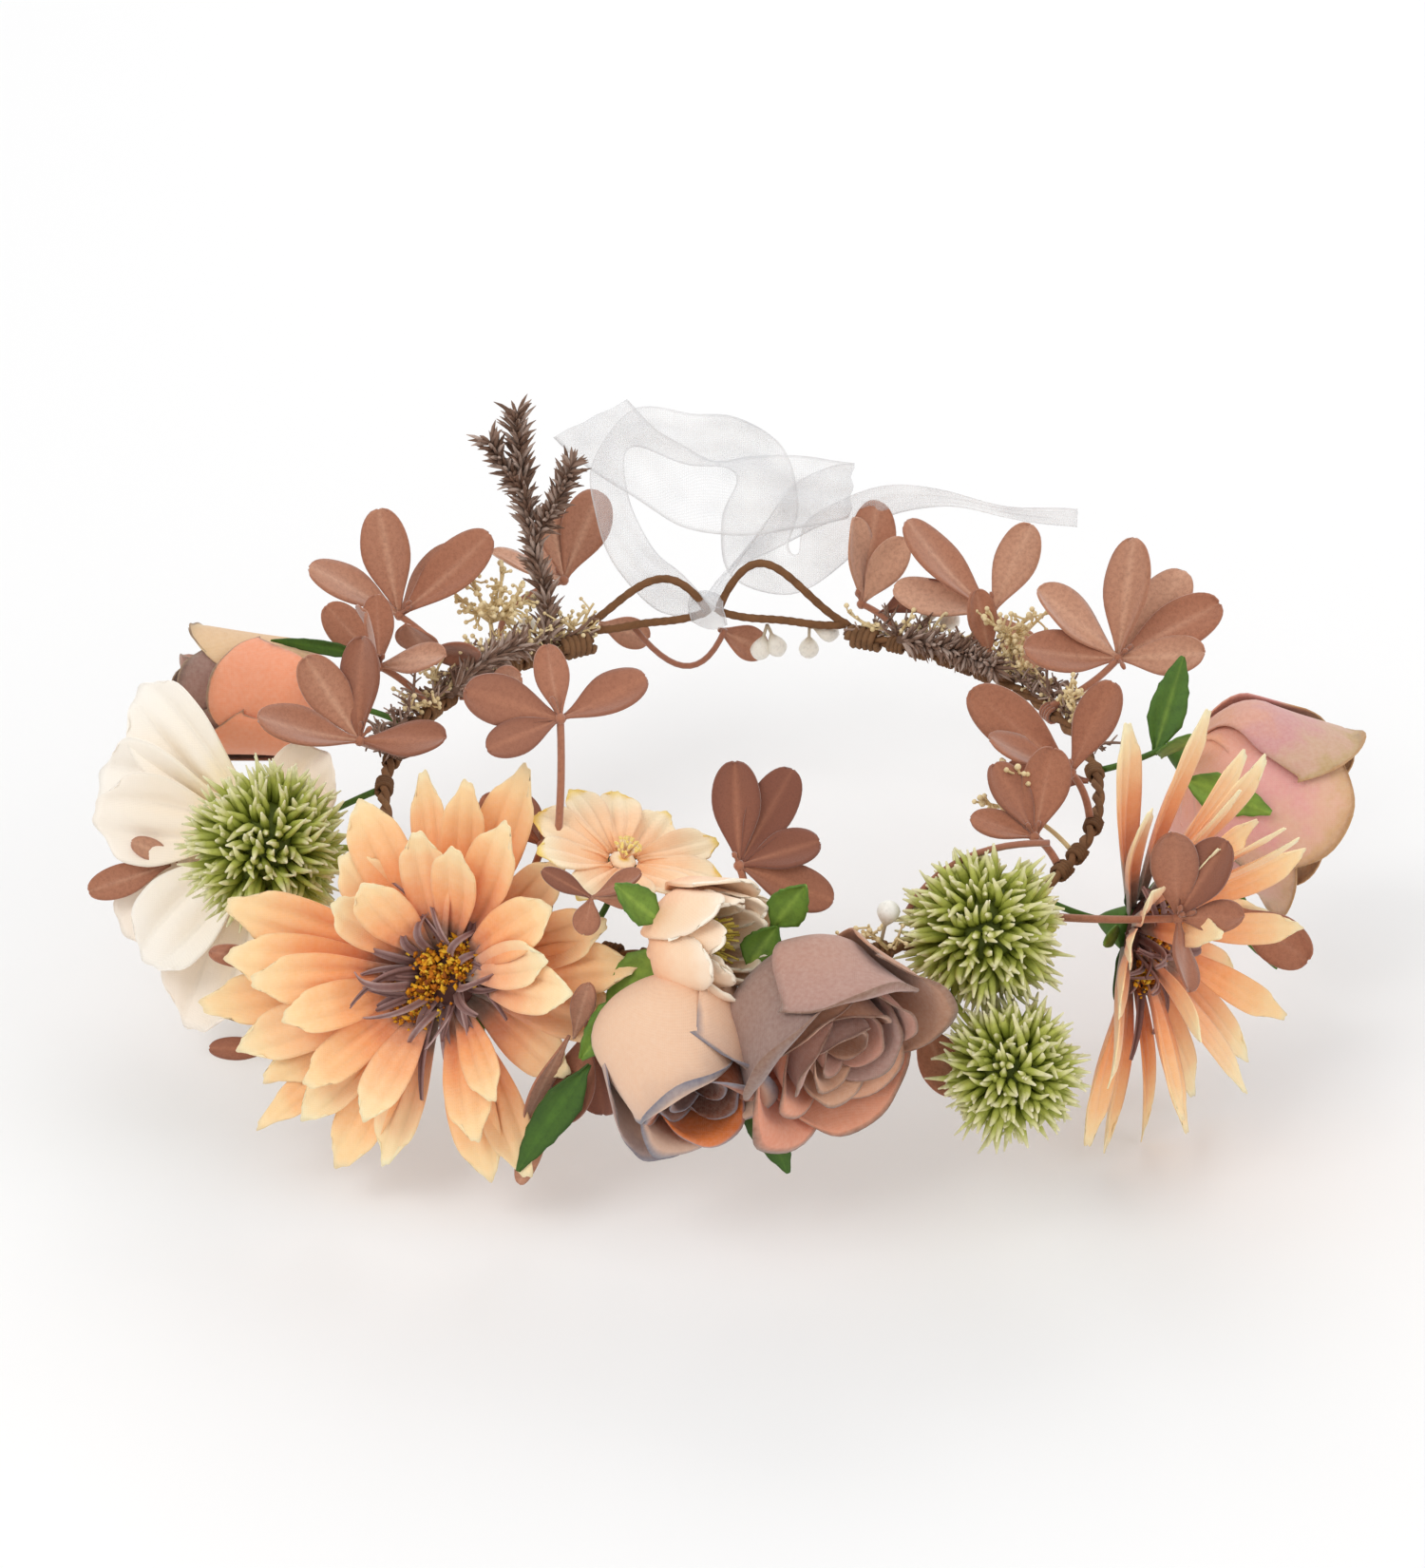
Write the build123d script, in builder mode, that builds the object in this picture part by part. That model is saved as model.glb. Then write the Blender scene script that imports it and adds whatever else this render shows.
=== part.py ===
from build123d import *
import os
from math import acos, cos, pi, radians, sin, sqrt

os.makedirs("parts", exist_ok=True)

# A flower crown: artificial flowers, leaves and sprigs taped to a wire band, and tied with a ribbon.
# Millimetres. The origin is the centre of the band, +Z is up on the wearer's head, and +X is the
# crown's left side as it is worn. The back, where the ribbon ties, is at +Y.

# Band
ring_radius = 95.0
wire_radius = 1.4
band_end_right = 71.0  # degrees round the band from +X, where the opening at the back starts
band_end_left = 116.0
tape_radius = 2.7
tape_length = 5.0

# Tie loops, each a long eye of bent wire
loop_wire_radius = 1.1
left_loop_length = 34.0
left_loop_height = 13.0
right_loop_length = 36.0
right_loop_height = 17.0
binding_radius = 3.6
binding_length = 9.0

# Stems and the sleeves of the sprigs that swing on the band
stem_radius = 0.8
sleeve_clearance = 0.07
sleeve_radius = 2.7
sleeve_length = 4.0

# Petals and leaves
petal_thickness = 0.8
leaf_thickness = 0.9
leaf_width = 11.0

# Ribbon
ribbon_width = 25.0
ribbon_thickness = 1.2
ribbon_depth = 112.0  # where the ribbon's folds stand behind the band
knot_radius = 5.0


def on_ring(angle, outward=0.0, up=0.0):
    """A point beside the band, by its angle round the band from +X."""
    reach = ring_radius + outward
    return Vector(reach * cos(radians(angle)), reach * sin(radians(angle)), up)


def facing(origin, toward):
    """A plane at origin that looks along toward, with a level x axis."""
    normal = Vector(*toward).normalized()
    level = Vector(0, 0, 1).cross(normal)
    if level.length < 0.01:
        level = Vector(1, 0, 0)
    return Plane(origin=origin, x_dir=level, z_dir=normal)


def side_of(plane):
    """The plane that holds another plane's axis, for profiles that are revolved about it."""
    return Plane(origin=plane.origin, x_dir=plane.x_dir, z_dir=-plane.y_dir)


def axis_of(plane):
    return Axis(plane.origin, plane.z_dir)


def save(part, name):
    part.label = name
    export_step(part, f"parts/{name}.step")


def add_rod(start, end, radius=stem_radius):
    """Adds a straight round wire to the part being built."""
    span = end - start
    with Locations(Plane(origin=start, z_dir=span)):
        Cylinder(radius, span.length, align=(Align.CENTER, Align.CENTER, Align.MIN))


def add_ball(centre, radius):
    with Locations(centre):
        Sphere(radius)


def add_leaf(root, tip, normal, width=leaf_width):
    """Adds one leaf blade, an oval plate from root to tip."""
    along = tip - root
    blade = Plane(origin=root, x_dir=along, z_dir=normal)
    with BuildSketch(blade) as outline:
        with Locations((along.length / 2, 0)):
            Ellipse(along.length / 2, width / 2)
    extrude(outline.sketch, amount=leaf_thickness / 2, both=True)


# ---------------------------------------------------------------- band, loops and tape

tape_angles = []  # filled by every stem that is taped to the band


def taped(angle, toward):
    """The point inside the tape where a stem ends, on the side of the wire that faces its head."""
    if angle not in tape_angles:
        tape_angles.append(angle)
    middle = on_ring(angle)
    tangent = on_ring(angle + 90).normalized()
    way = toward - middle
    way = (way - tangent * way.dot(tangent)).normalized()
    return middle + way * (wire_radius + stem_radius + 0.15)


def make_band():
    with BuildPart() as band_wire:
        start = band_end_left
        with BuildSketch(Plane(origin=(0, 0, 0), x_dir=on_ring(start), z_dir=(
                sin(radians(start)), -cos(radians(start)), 0))):
            with Locations((ring_radius, 0)):
                Circle(wire_radius)
        revolve(axis=Axis.Z, revolution_arc=band_end_right + 360 - band_end_left)
    return band_wire.part


def make_sleeves_round_band(angles, radius, length, bore):
    """Short tubes round the band, one solid at each angle."""
    with BuildPart() as sleeves:
        for angle in angles:
            around = Plane(origin=on_ring(angle), z_dir=on_ring(angle + 90))
            with BuildSketch(around):
                Circle(radius)
                Circle(bore, mode=Mode.SUBTRACT)
            extrude(amount=length / 2, both=True)
    return sleeves.part


def make_tie_loop(plane, length, height):
    """A closed eye of wire with straight sides and round ends, standing on edge."""
    bend = height / 2
    half = length / 2 - bend
    with BuildPart() as loop:
        for side in (1, -1):
            middle = plane.from_local_coords((side * half, 0, 0))
            with BuildSketch(Plane(origin=middle, x_dir=plane.y_dir, z_dir=plane.x_dir * side)):
                with Locations((bend, 0)):
                    Circle(loop_wire_radius)
            revolve(axis=Axis(middle, plane.z_dir), revolution_arc=-180 * side)
            straight = plane.from_local_coords((-half, side * bend, 0))
            add_rod(straight, straight + plane.x_dir * (2 * half), loop_wire_radius)
    return loop.part


left_loop_plane = Plane(origin=(-27, 94.5, 7.5), x_dir=(38, 9, 0), z_dir=(9, -38, 0))
right_loop_plane = Plane(origin=(12.5, 95.5, 10), x_dir=(38, -6, 0), z_dir=(-6, -38, 0))

# ---------------------------------------------------------------- flowers


def make_petals(plane, count, reach, width, rise, first=0.0, hub=7.0):
    """One moulded layer of petals: a shallow cone shell cut to the outline of its petals."""
    with BuildPart() as layer:
        with BuildSketch(plane):
            Circle(hub)
            with PolarLocations(reach / 2, count, start_angle=first):
                Ellipse(reach / 2, width / 2)
        extrude(amount=reach)
        with BuildSketch(side_of(plane)):
            with BuildLine():
                Polyline(
                    (0, 0), (hub, 0), (reach + 1, rise), (reach + 1, rise + petal_thickness),
                    (hub, petal_thickness), (0, petal_thickness), close=True)
            make_face()
        revolve(axis=axis_of(plane), mode=Mode.INTERSECT)
    return layer.part


def make_disc(plane, radius, stamens, stamen_reach):
    """The heart of a daisy: a low dome in a ring of stamens."""
    with BuildPart() as disc:
        with BuildSketch(side_of(plane)):
            with BuildLine():
                Polyline((0, 0), (radius, 0), (radius, 2), (0.55 * radius, 4), (0, 4.5), close=True)
            make_face()
        revolve(axis=axis_of(plane))
        for turn in range(stamens):
            angle = 2 * pi * turn / stamens
            foot = plane.from_local_coords((0.6 * radius * cos(angle), 0.6 * radius * sin(angle), 1))
            top = plane.from_local_coords((
                stamen_reach * cos(angle), stamen_reach * sin(angle), stamen_reach))
            add_rod(foot, top, 0.6)
    return disc.part


def make_calyx(plane, radius, depth, angle):
    """The green cup under a flower, and the stem from it to the tape on the band."""
    with BuildPart() as calyx:
        with BuildSketch(side_of(plane)):
            with BuildLine():
                Polyline((0, 0), (radius, 0), (1.2 * stem_radius, -depth), (0, -depth), close=True)
            make_face()
        revolve(axis=axis_of(plane))
        end = plane.from_local_coords((0, 0, 0.3 - depth))
        add_rod(end, taped(angle, end))
    return calyx.part


def add_cup(plane, radius, height, foot, slots, first=0.0):
    """Adds a round of rose petals: a thin bowl, slit from its rim into overlapping petals."""
    inner = radius - petal_thickness
    with BuildSketch(side_of(plane)) as wall:
        with BuildLine():
            Polyline(
                (0, 0), (foot, 0), (0.85 * radius, 0.3 * height), (radius, 0.6 * height),
                (0.92 * radius, height), (0.92 * radius - petal_thickness, height),
                (inner, 0.6 * height), (0.85 * radius - petal_thickness, 0.32 * height),
                (foot, petal_thickness), (0, petal_thickness), close=True)
        make_face()
    revolve(wall.sketch, axis=axis_of(plane))
    with BuildSketch(plane.offset(0.6 * height)) as slits:
        with PolarLocations(radius, slots, start_angle=first):
            Rectangle(radius, 1.2)
    extrude(slits.sketch, amount=height, mode=Mode.SUBTRACT)


def make_outer_petals(plane, radius, height, slots):
    with BuildPart() as outer:
        add_cup(plane, radius, height, 6, slots)
    return outer.part


def make_inner_petals(plane, radius, height, slots, heart_radius):
    """The inner round of petals, with the rolled heart of the flower inside it."""
    with BuildPart() as inner:
        add_cup(plane, radius, height, 5, slots, first=30)
        heart_height = height - 3
        with BuildSketch(side_of(plane)) as half:
            with BuildLine():
                Polyline(
                    (0, 0), (0.5 * heart_radius, 0), (heart_radius, 0.45 * heart_height),
                    (0.7 * heart_radius, heart_height), (0, 0.9 * heart_height), close=True)
            make_face()
        revolve(half.sketch, axis=axis_of(plane))
    return inner.part


def save_daisy(name, plane, reach, width, angle):
    """A gerbera-like daisy with two layers of long petals."""
    save(make_calyx(plane, 6.5, 9, angle), f"{name}_calyx")
    save(make_petals(plane, 13, reach, width, 0.2 * reach), f"{name}_outer_petals")
    inner = plane.offset(petal_thickness)
    save(make_petals(inner, 11, 0.8 * reach, width, 0.36 * reach, first=14), f"{name}_inner_petals")
    save(make_disc(inner.offset(petal_thickness), 6.5, 10, 11), f"{name}_disc")


def save_rose(name, plane, radius, height, angle):
    """A rose: an outer bowl of petals, and an inner bowl round a rolled heart."""
    save(make_calyx(plane, 6, 7, angle), f"{name}_calyx")
    save(make_outer_petals(plane, radius, height, 5), f"{name}_outer_petals")
    inner = plane.offset(petal_thickness)
    save(make_inner_petals(inner, 0.72 * radius, height - 3, 4, 0.4 * radius), f"{name}_inner_petals")


# Each daisy: plane at the back of its petals, petal length and width, angle of its tape.
save_daisy("left_daisy", facing((-74, -85, -9), (-0.25, -0.85, 0.45)), 50, 11.5, 224)
save_daisy("right_daisy", facing((99, -63, -8), (0.85, -0.5, 0.0)), 51, 11.5, 322)

# Each rose: plane at the bottom of its bowl, bowl radius and height, angle of its tape.
save_rose("front_rosebud", facing((-19, -103, -7), (0.15, -0.7, -0.7)), 19, 34, 256)
save_rose("front_rose", facing((10, -103, 3), (0.5, -0.8, -0.33)), 21, 33, 277)
save_rose("left_rose", facing((-114, 36, 6), (-1, 0.05, 0.1)), 17, 38, 160)
save_rose("right_rose", facing((120, 8, 4), (0.9, -0.1, -0.42)), 24, 36, 4)

small_daisy = facing((-30, -81, 21), (0.25, -0.2, 0.95))
save(make_calyx(small_daisy, 5, 7, 245), "small_daisy_calyx")
save(make_petals(small_daisy, 9, 15, 7, 4, hub=5), "small_daisy_petals")

white_flower = facing((-120, -8, -8), (-0.45, -0.75, 0.42))
save(make_calyx(white_flower, 6, 8, 181), "white_flower_calyx")
save(make_petals(white_flower, 5, 50, 27, 12, first=54), "white_flower_outer_petals")
white_inner = white_flower.offset(petal_thickness)
save(make_petals(white_inner, 4, 38, 23, 15, first=90), "white_flower_inner_petals")

cream_bud = facing((-12, -98, 12), (0.1, -0.85, 0.45))
save(make_calyx(cream_bud, 5, 5, 263), "cream_bud_calyx")
save(make_outer_petals(cream_bud, 14, 19, 7), "cream_bud_outer_petals")
save(make_inner_petals(cream_bud.offset(petal_thickness), 10, 17, 6, 4), "cream_bud_inner_petals")


def make_thistle(centre, core, reach, angle, spines=34):
    """A thistle ball: a round core with spines all over it, and its stem."""
    golden_turn = pi * (3 - sqrt(5))
    stem_end = taped(angle, centre)
    toward_band = (stem_end - centre).normalized()
    with BuildPart() as head:
        add_ball(centre, core)
        for spine in range(spines):
            height = 1 - 2 * (spine + 0.5) / spines
            tilt = acos(height)
            turn = spine * golden_turn
            direction = Vector(sin(tilt) * cos(turn), sin(tilt) * sin(turn), height)
            if direction.dot(toward_band) > 0.92:
                continue
            with Locations(Plane(origin=centre + direction * (core - 1), z_dir=direction)):
                Cone(1.3, 0.3, reach - core + 1, align=(Align.CENTER, Align.CENTER, Align.MIN))
        add_rod(centre + toward_band * (core - 1), stem_end)
    return head.part


save(make_thistle(Vector(-122, -46, 6), 13, 20, 203), "left_thistle")
save(make_thistle(Vector(60, -90, 7), 12, 19, 303), "upper_right_thistle")
save(make_thistle(Vector(66, -113, -20), 10, 17, 297), "lower_right_thistle")

# ---------------------------------------------------------------- leaves and sprigs


def add_leaf_whorl(hub, tips):
    """Adds leaves that fan out from a hub to their tips, faces turned up the whorl."""
    heart = sum(tips, Vector(0, 0, 0)) * (1 / len(tips)) - hub
    add_ball(hub, 1.6)
    for tip in tips:
        along = (tip - hub).normalized()
        normal = heart - along * heart.dot(along)
        if normal.length < 0.5:
            normal = along.cross(Vector(0, 0, 1))
        add_leaf(hub, tip, normal, width=0.42 * (tip - hub).length)


def make_leaf_sprig(angle, hub, tips):
    """A sprig in one moulding: its stem from the tape, and its leaves."""
    with BuildPart() as sprig:
        add_rod(taped(angle, Vector(*hub)), Vector(*hub))
        add_leaf_whorl(Vector(*hub), [Vector(*tip) for tip in tips])
    return sprig.part


def make_swinging_sprig(angle, hub, tips):
    """A leaf sprig whose stem ends in a sleeve that turns on the band's wire."""
    foot = on_ring(angle, up=sleeve_radius - 0.6)
    with BuildPart() as sprig:
        add_rod(foot, Vector(*hub))
        add_leaf_whorl(Vector(*hub), [Vector(*tip) for tip in tips])
        add_sleeve(angle)
    return sprig.part


def add_sleeve(angle):
    """Adds a sleeve round the band, with the running clearance that lets it turn."""
    around = Plane(origin=on_ring(angle), z_dir=on_ring(angle + 90))
    with BuildSketch(around) as wall:
        Circle(sleeve_radius)
    extrude(wall.sketch, amount=sleeve_length / 2, both=True)
    with BuildSketch(around) as bore:
        Circle(wire_radius + sleeve_clearance)
    extrude(bore.sketch, amount=sleeve_length, both=True, mode=Mode.SUBTRACT)


# Leaf sprigs that are taped fast: angle of the tape, the whorl's hub, and its leaf tips.
taped_sprigs = {
    "left_side_leaf_sprig": (171, (-101, -2, 14), [
        (-124, -12, 25), (-100, 10, 36), (-80, -6, 17), (-114, 7, 32)]),
    "left_upper_leaf_sprig": (153, (-99, 46, 12), [
        (-101, 34, 33), (-82, 40, 18), (-112, 52, 26), (-100, 58, 26)]),
    "front_left_leaf_sprig": (232, (-50, -74, 22), [
        (-64, -66, 30), (-42, -60, 22), (-57, -60, 27)]),
    "back_right_leaf_sprig": (52, (71, 82, 11), [
        (49, 92, 32), (81, 90, 32), (46, 86, 16), (84, 76, -2)]),
    "back_leaf_sprig": (62, (35, 100, 5), [
        (33, 108, 26), (46, 106, 21), (39, 114, 28)]),
    "behind_ribbon_leaf_sprig": (132.5, (-52, 98, 12), [
        (-42, 114, 30), (-55, 106, 30), (-70, 98, 20), (-60, 112, 14)]),
    "inner_right_leaf_sprig": (330, (75, -46, 9), [
        (66, -34, 22), (80, -30, 24), (60, -46, 14)]),
    "right_leaf_sprig": (346, (86, -20, 14), [
        (62, -16, 34), (66, -26, 26), (96, -10, 33)]),
    "front_right_leaf_sprig": (314, (108, -88, 9), [
        (106, -86, 30), (118, -86, 28), (122, -94, 13), (110, -100, -3)]),
    "front_lower_leaf_sprig": (250, (-38, -102, -14), [
        (-44, -110, -34), (-35, -104, -36)]),
}
for name, (angle, hub, tips) in taped_sprigs.items():
    save(make_leaf_sprig(angle, hub, tips), name)

# Leaf sprigs that swing on the band: angle of the sleeve, the whorl's hub, and its leaf tips.
swinging_sprigs = {
    "tall_leaf_sprig": (238.5, (-45, -75, 58), [
        (-26, -68, 65), (-66, -78, 67), (-61, -84, 55), (-48, -66, 72)]),
    "centre_leaf_sprig": (269.5, (-1, -88, 24), [
        (-2, -76, 44), (11, -76, 42), (17, -84, 28), (20, -90, 16)]),
    "right_back_leaf_sprig": (26, (104, 51, 12), [
        (108, 62, 40), (84, 58, 28), (80, 44, 18), (130, 62, 22), (122, 72, 26), (125, 46, 16)]),
    "left_back_leaf_sprig": (143.5, (-95, 72, 15), [
        (-100, 82, 40), (-72, 80, 34), (-117, 68, 30), (-80, 92, 25)]),
}
for name, (angle, hub, tips) in swinging_sprigs.items():
    save(make_swinging_sprig(angle, hub, tips), name)


def add_needles(start, end, rounds, per_round, length):
    """Adds rings of needles that slant up a stem."""
    along = (end - start).normalized()
    stem = Plane(origin=start, z_dir=along)
    step = (end - start).length / rounds
    for level in range(rounds):
        for needle in range(per_round):
            turn = 2 * pi * (needle / per_round + 0.31 * level)
            outward = stem.x_dir * cos(turn) + stem.y_dir * sin(turn)
            foot = start + along * (step * (level + 0.6))
            with Locations(Plane(origin=foot, z_dir=outward + along)):
                Cone(0.7, 0.25, length, align=(Align.CENTER, Align.CENTER, Align.MIN))


def make_heather(angle, start, end, rounds):
    """A heather sprig that lies along the band, with needles all the way up it."""
    with BuildPart() as spike:
        add_rod(taped(angle, start), start)
        add_rod(start, end, 1.0)
        add_needles(start, end, rounds, 4, 8)
    return spike.part


# The tall heather spike swings on its sleeve. The other two lie along the band.
spike_angle = 125
with BuildPart() as heather_spike:
    foot = on_ring(spike_angle, up=sleeve_radius - 0.6)
    knee = Vector(-54, 84, 12)
    crest = Vector(-62, 93, 66)
    add_rod(foot, knee, 1.0)
    add_ball(knee, 1.0)
    add_rod(knee, crest, 1.0)
    add_needles(knee, crest, 8, 4, 8)
    add_sleeve(spike_angle)
save(heather_spike.part, "heather_spike")
save(make_heather(48, on_ring(60, -6, 5), on_ring(38, -7, 8), 7), "right_heather_sprig")
save(make_heather(148.5, on_ring(151, -5, 5), on_ring(134, -7, 10), 5), "left_heather_sprig")


def make_filler(angle, stalk, beads):
    """A coral-like sprig: a stalk with short branches that end in beads."""
    with BuildPart() as filler:
        top = Vector(*stalk)
        add_rod(taped(angle, top), top, 0.6)
        add_ball(top, 0.8)
        for bead in beads:
            tip = top + Vector(*bead)
            add_rod(top, tip, 0.5)
            add_ball(tip, 1.3)
    return filler.part


save(make_filler(137.5, (-70, 78, 10), [
    (-6, 4, 14), (3, 5, 16), (9, 3, 10), (-7, 1, 3), (2, 8, 8)]), "left_cream_filler")
save(make_filler(44, (76, 66, 8), [
    (4, -4, 12), (-4, -6, 10), (9, -6, 6), (2, -9, 4)]), "right_cream_filler")
save(make_filler(336, (74, -32, 8), [
    (-9, 2, 12), (-12, -5, 6), (-3, -2, 15)]), "inner_cream_filler")


def add_berry(foot, tip, radius=2.6):
    """Adds a drop-shaped berry on a short stalk."""
    drop = Plane(origin=tip, z_dir=tip - foot)
    add_rod(foot, tip, 0.5)
    with BuildSketch(side_of(drop)) as profile:
        with BuildLine():
            Polyline(
                (0, -2.2 * radius), (0.55 * radius, -1.3 * radius), (radius, -0.2 * radius),
                (0.75 * radius, 0.7 * radius), (0, radius), close=True)
        make_face()
    revolve(profile.sketch, axis=axis_of(drop))


with BuildPart() as white_berries:
    for angle, tip in [(57.5, (60, 90, 5)), (291, (36, -91, 13)), (128.5, (-67, 88, -3))]:
        add_berry(taped(angle, Vector(*tip)), Vector(*tip))
    add_berry(Vector(20, 94.5, 0.4), Vector(20, 97, -8))
save(white_berries.part, "white_berries")

with BuildPart() as green_leaves:
    for root, tip, normal in [
            ((7, -103, 15), (15, -107, 29), (0, -1, 0.5)),
            ((112, 14, 10), (120, 27, 26), (0, -1, 0.4)),
            ((112, 0, 8), (118, -14, 22), (0.2, -0.5, 1))]:
        add_leaf(Vector(*root), Vector(*tip), Vector(*normal), width=7)
save(green_leaves.part, "green_leaves")

# ---------------------------------------------------------------- ribbon


def add_strip(route, width):
    """Adds a folded length of ribbon, drawn in the XZ plane and as wide as the ribbon along Y."""
    with BuildSketch(Plane(origin=(0, ribbon_depth, 0), x_dir=(1, 0, 0), z_dir=(0, -1, 0))) as trail:
        with BuildLine():
            Polyline(*route)
        trace(line_width=ribbon_thickness)
    extrude(trail.sketch, amount=width / 2, both=True)


with BuildPart() as organza_ribbon:
    add_ball(Vector(-5, 99, 5), knot_radius)
    add_strip([(-5, 5), (-20, 24), (-34, 36), (-42, 58)], 0.8 * ribbon_width)
    add_strip([(-5, 5), (-2, 26), (-12, 44), (6, 50), (24, 42), (38, 40), (30, 22), (-5, 5)],
              0.8 * ribbon_width)
    add_strip([(24, 42), (50, 30), (96, 22)], 0.8 * ribbon_width)
save(organza_ribbon.part, "organza_ribbon")

# ---------------------------------------------------------------- band

save(make_band(), "band_wire")
save(make_tie_loop(left_loop_plane, left_loop_length, left_loop_height), "left_tie_loop")
save(make_tie_loop(right_loop_plane, right_loop_length, right_loop_height), "right_tie_loop")
loop_binding_angles = [band_end_right - 3, band_end_left + 3]
save(make_sleeves_round_band(loop_binding_angles, binding_radius, binding_length, wire_radius),
     "loop_bindings")
save(make_sleeves_round_band(tape_angles, tape_radius, tape_length, wire_radius), "stem_tape_wraps")
print(len(tape_angles), "tape wraps at", sorted(tape_angles))
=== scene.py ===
"""The looks of a flower crown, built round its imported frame."""
from math import acos, cos, pi, radians, sin, sqrt

import bpy
import numpy as np
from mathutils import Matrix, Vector


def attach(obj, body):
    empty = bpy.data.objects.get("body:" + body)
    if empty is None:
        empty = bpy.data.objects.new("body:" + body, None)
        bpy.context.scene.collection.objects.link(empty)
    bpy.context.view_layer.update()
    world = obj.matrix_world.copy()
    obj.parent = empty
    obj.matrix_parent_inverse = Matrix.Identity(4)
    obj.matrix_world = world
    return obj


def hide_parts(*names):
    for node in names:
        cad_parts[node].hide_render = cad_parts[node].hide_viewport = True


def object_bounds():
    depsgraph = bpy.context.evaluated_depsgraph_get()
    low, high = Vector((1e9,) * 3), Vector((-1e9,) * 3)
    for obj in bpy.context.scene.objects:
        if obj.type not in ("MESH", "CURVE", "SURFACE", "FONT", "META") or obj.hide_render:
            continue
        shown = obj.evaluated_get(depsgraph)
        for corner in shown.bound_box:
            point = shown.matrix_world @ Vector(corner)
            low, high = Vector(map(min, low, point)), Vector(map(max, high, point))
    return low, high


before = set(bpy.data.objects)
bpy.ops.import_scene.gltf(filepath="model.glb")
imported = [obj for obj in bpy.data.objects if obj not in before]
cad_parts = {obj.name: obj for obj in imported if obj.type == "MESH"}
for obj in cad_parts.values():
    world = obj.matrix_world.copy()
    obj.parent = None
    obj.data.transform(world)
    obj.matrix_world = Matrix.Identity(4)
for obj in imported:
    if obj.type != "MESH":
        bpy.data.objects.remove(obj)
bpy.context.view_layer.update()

MM = 0.001  # every size below is in millimetres, as in the frame's own design
UP = np.array((0.0, 0.0, 1.0))
SIGHT = np.array((0.0, -0.85, 0.5))  # towards the front, where most leaves face

# The band and what is wound on it
RING_RADIUS = 95.0
WIRE_RADIUS = 1.4
BAND_END_RIGHT = 71.0
BAND_END_LEFT = 116.0
STEM_RADIUS = 0.8
STEM_GAP = 0.15  # between a taped stem and the wire
taped_angles = set()  # where round the band a stem's foot is taped on


def vec(*values):
    return np.array(values, float)


def unit(v):
    v = np.asarray(v, float)
    return v / max(np.linalg.norm(v), 1e-9)


def on_ring(angle, outward=0.0, up=0.0):
    """A point beside the band, by its angle round the band from +X."""
    reach = RING_RADIUS + outward
    return vec(reach * cos(radians(angle)), reach * sin(radians(angle)), up)


def taped(angle, toward):
    """Where a stem leaves the tape on the band, on the side that faces its head."""
    taped_angles.add(angle)
    middle = on_ring(angle)
    tangent = unit(on_ring(angle + 90))
    way = toward - middle
    way = unit(way - tangent * np.dot(way, tangent))
    return middle + way * (WIRE_RADIUS + STEM_RADIUS + STEM_GAP)


def ease(x, low, high):
    """0 before low, 1 after high, smooth between them."""
    t = np.clip((x - low) / (high - low), 0, 1)
    return t * t * (3 - 2 * t)


# ---- shapes


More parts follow.
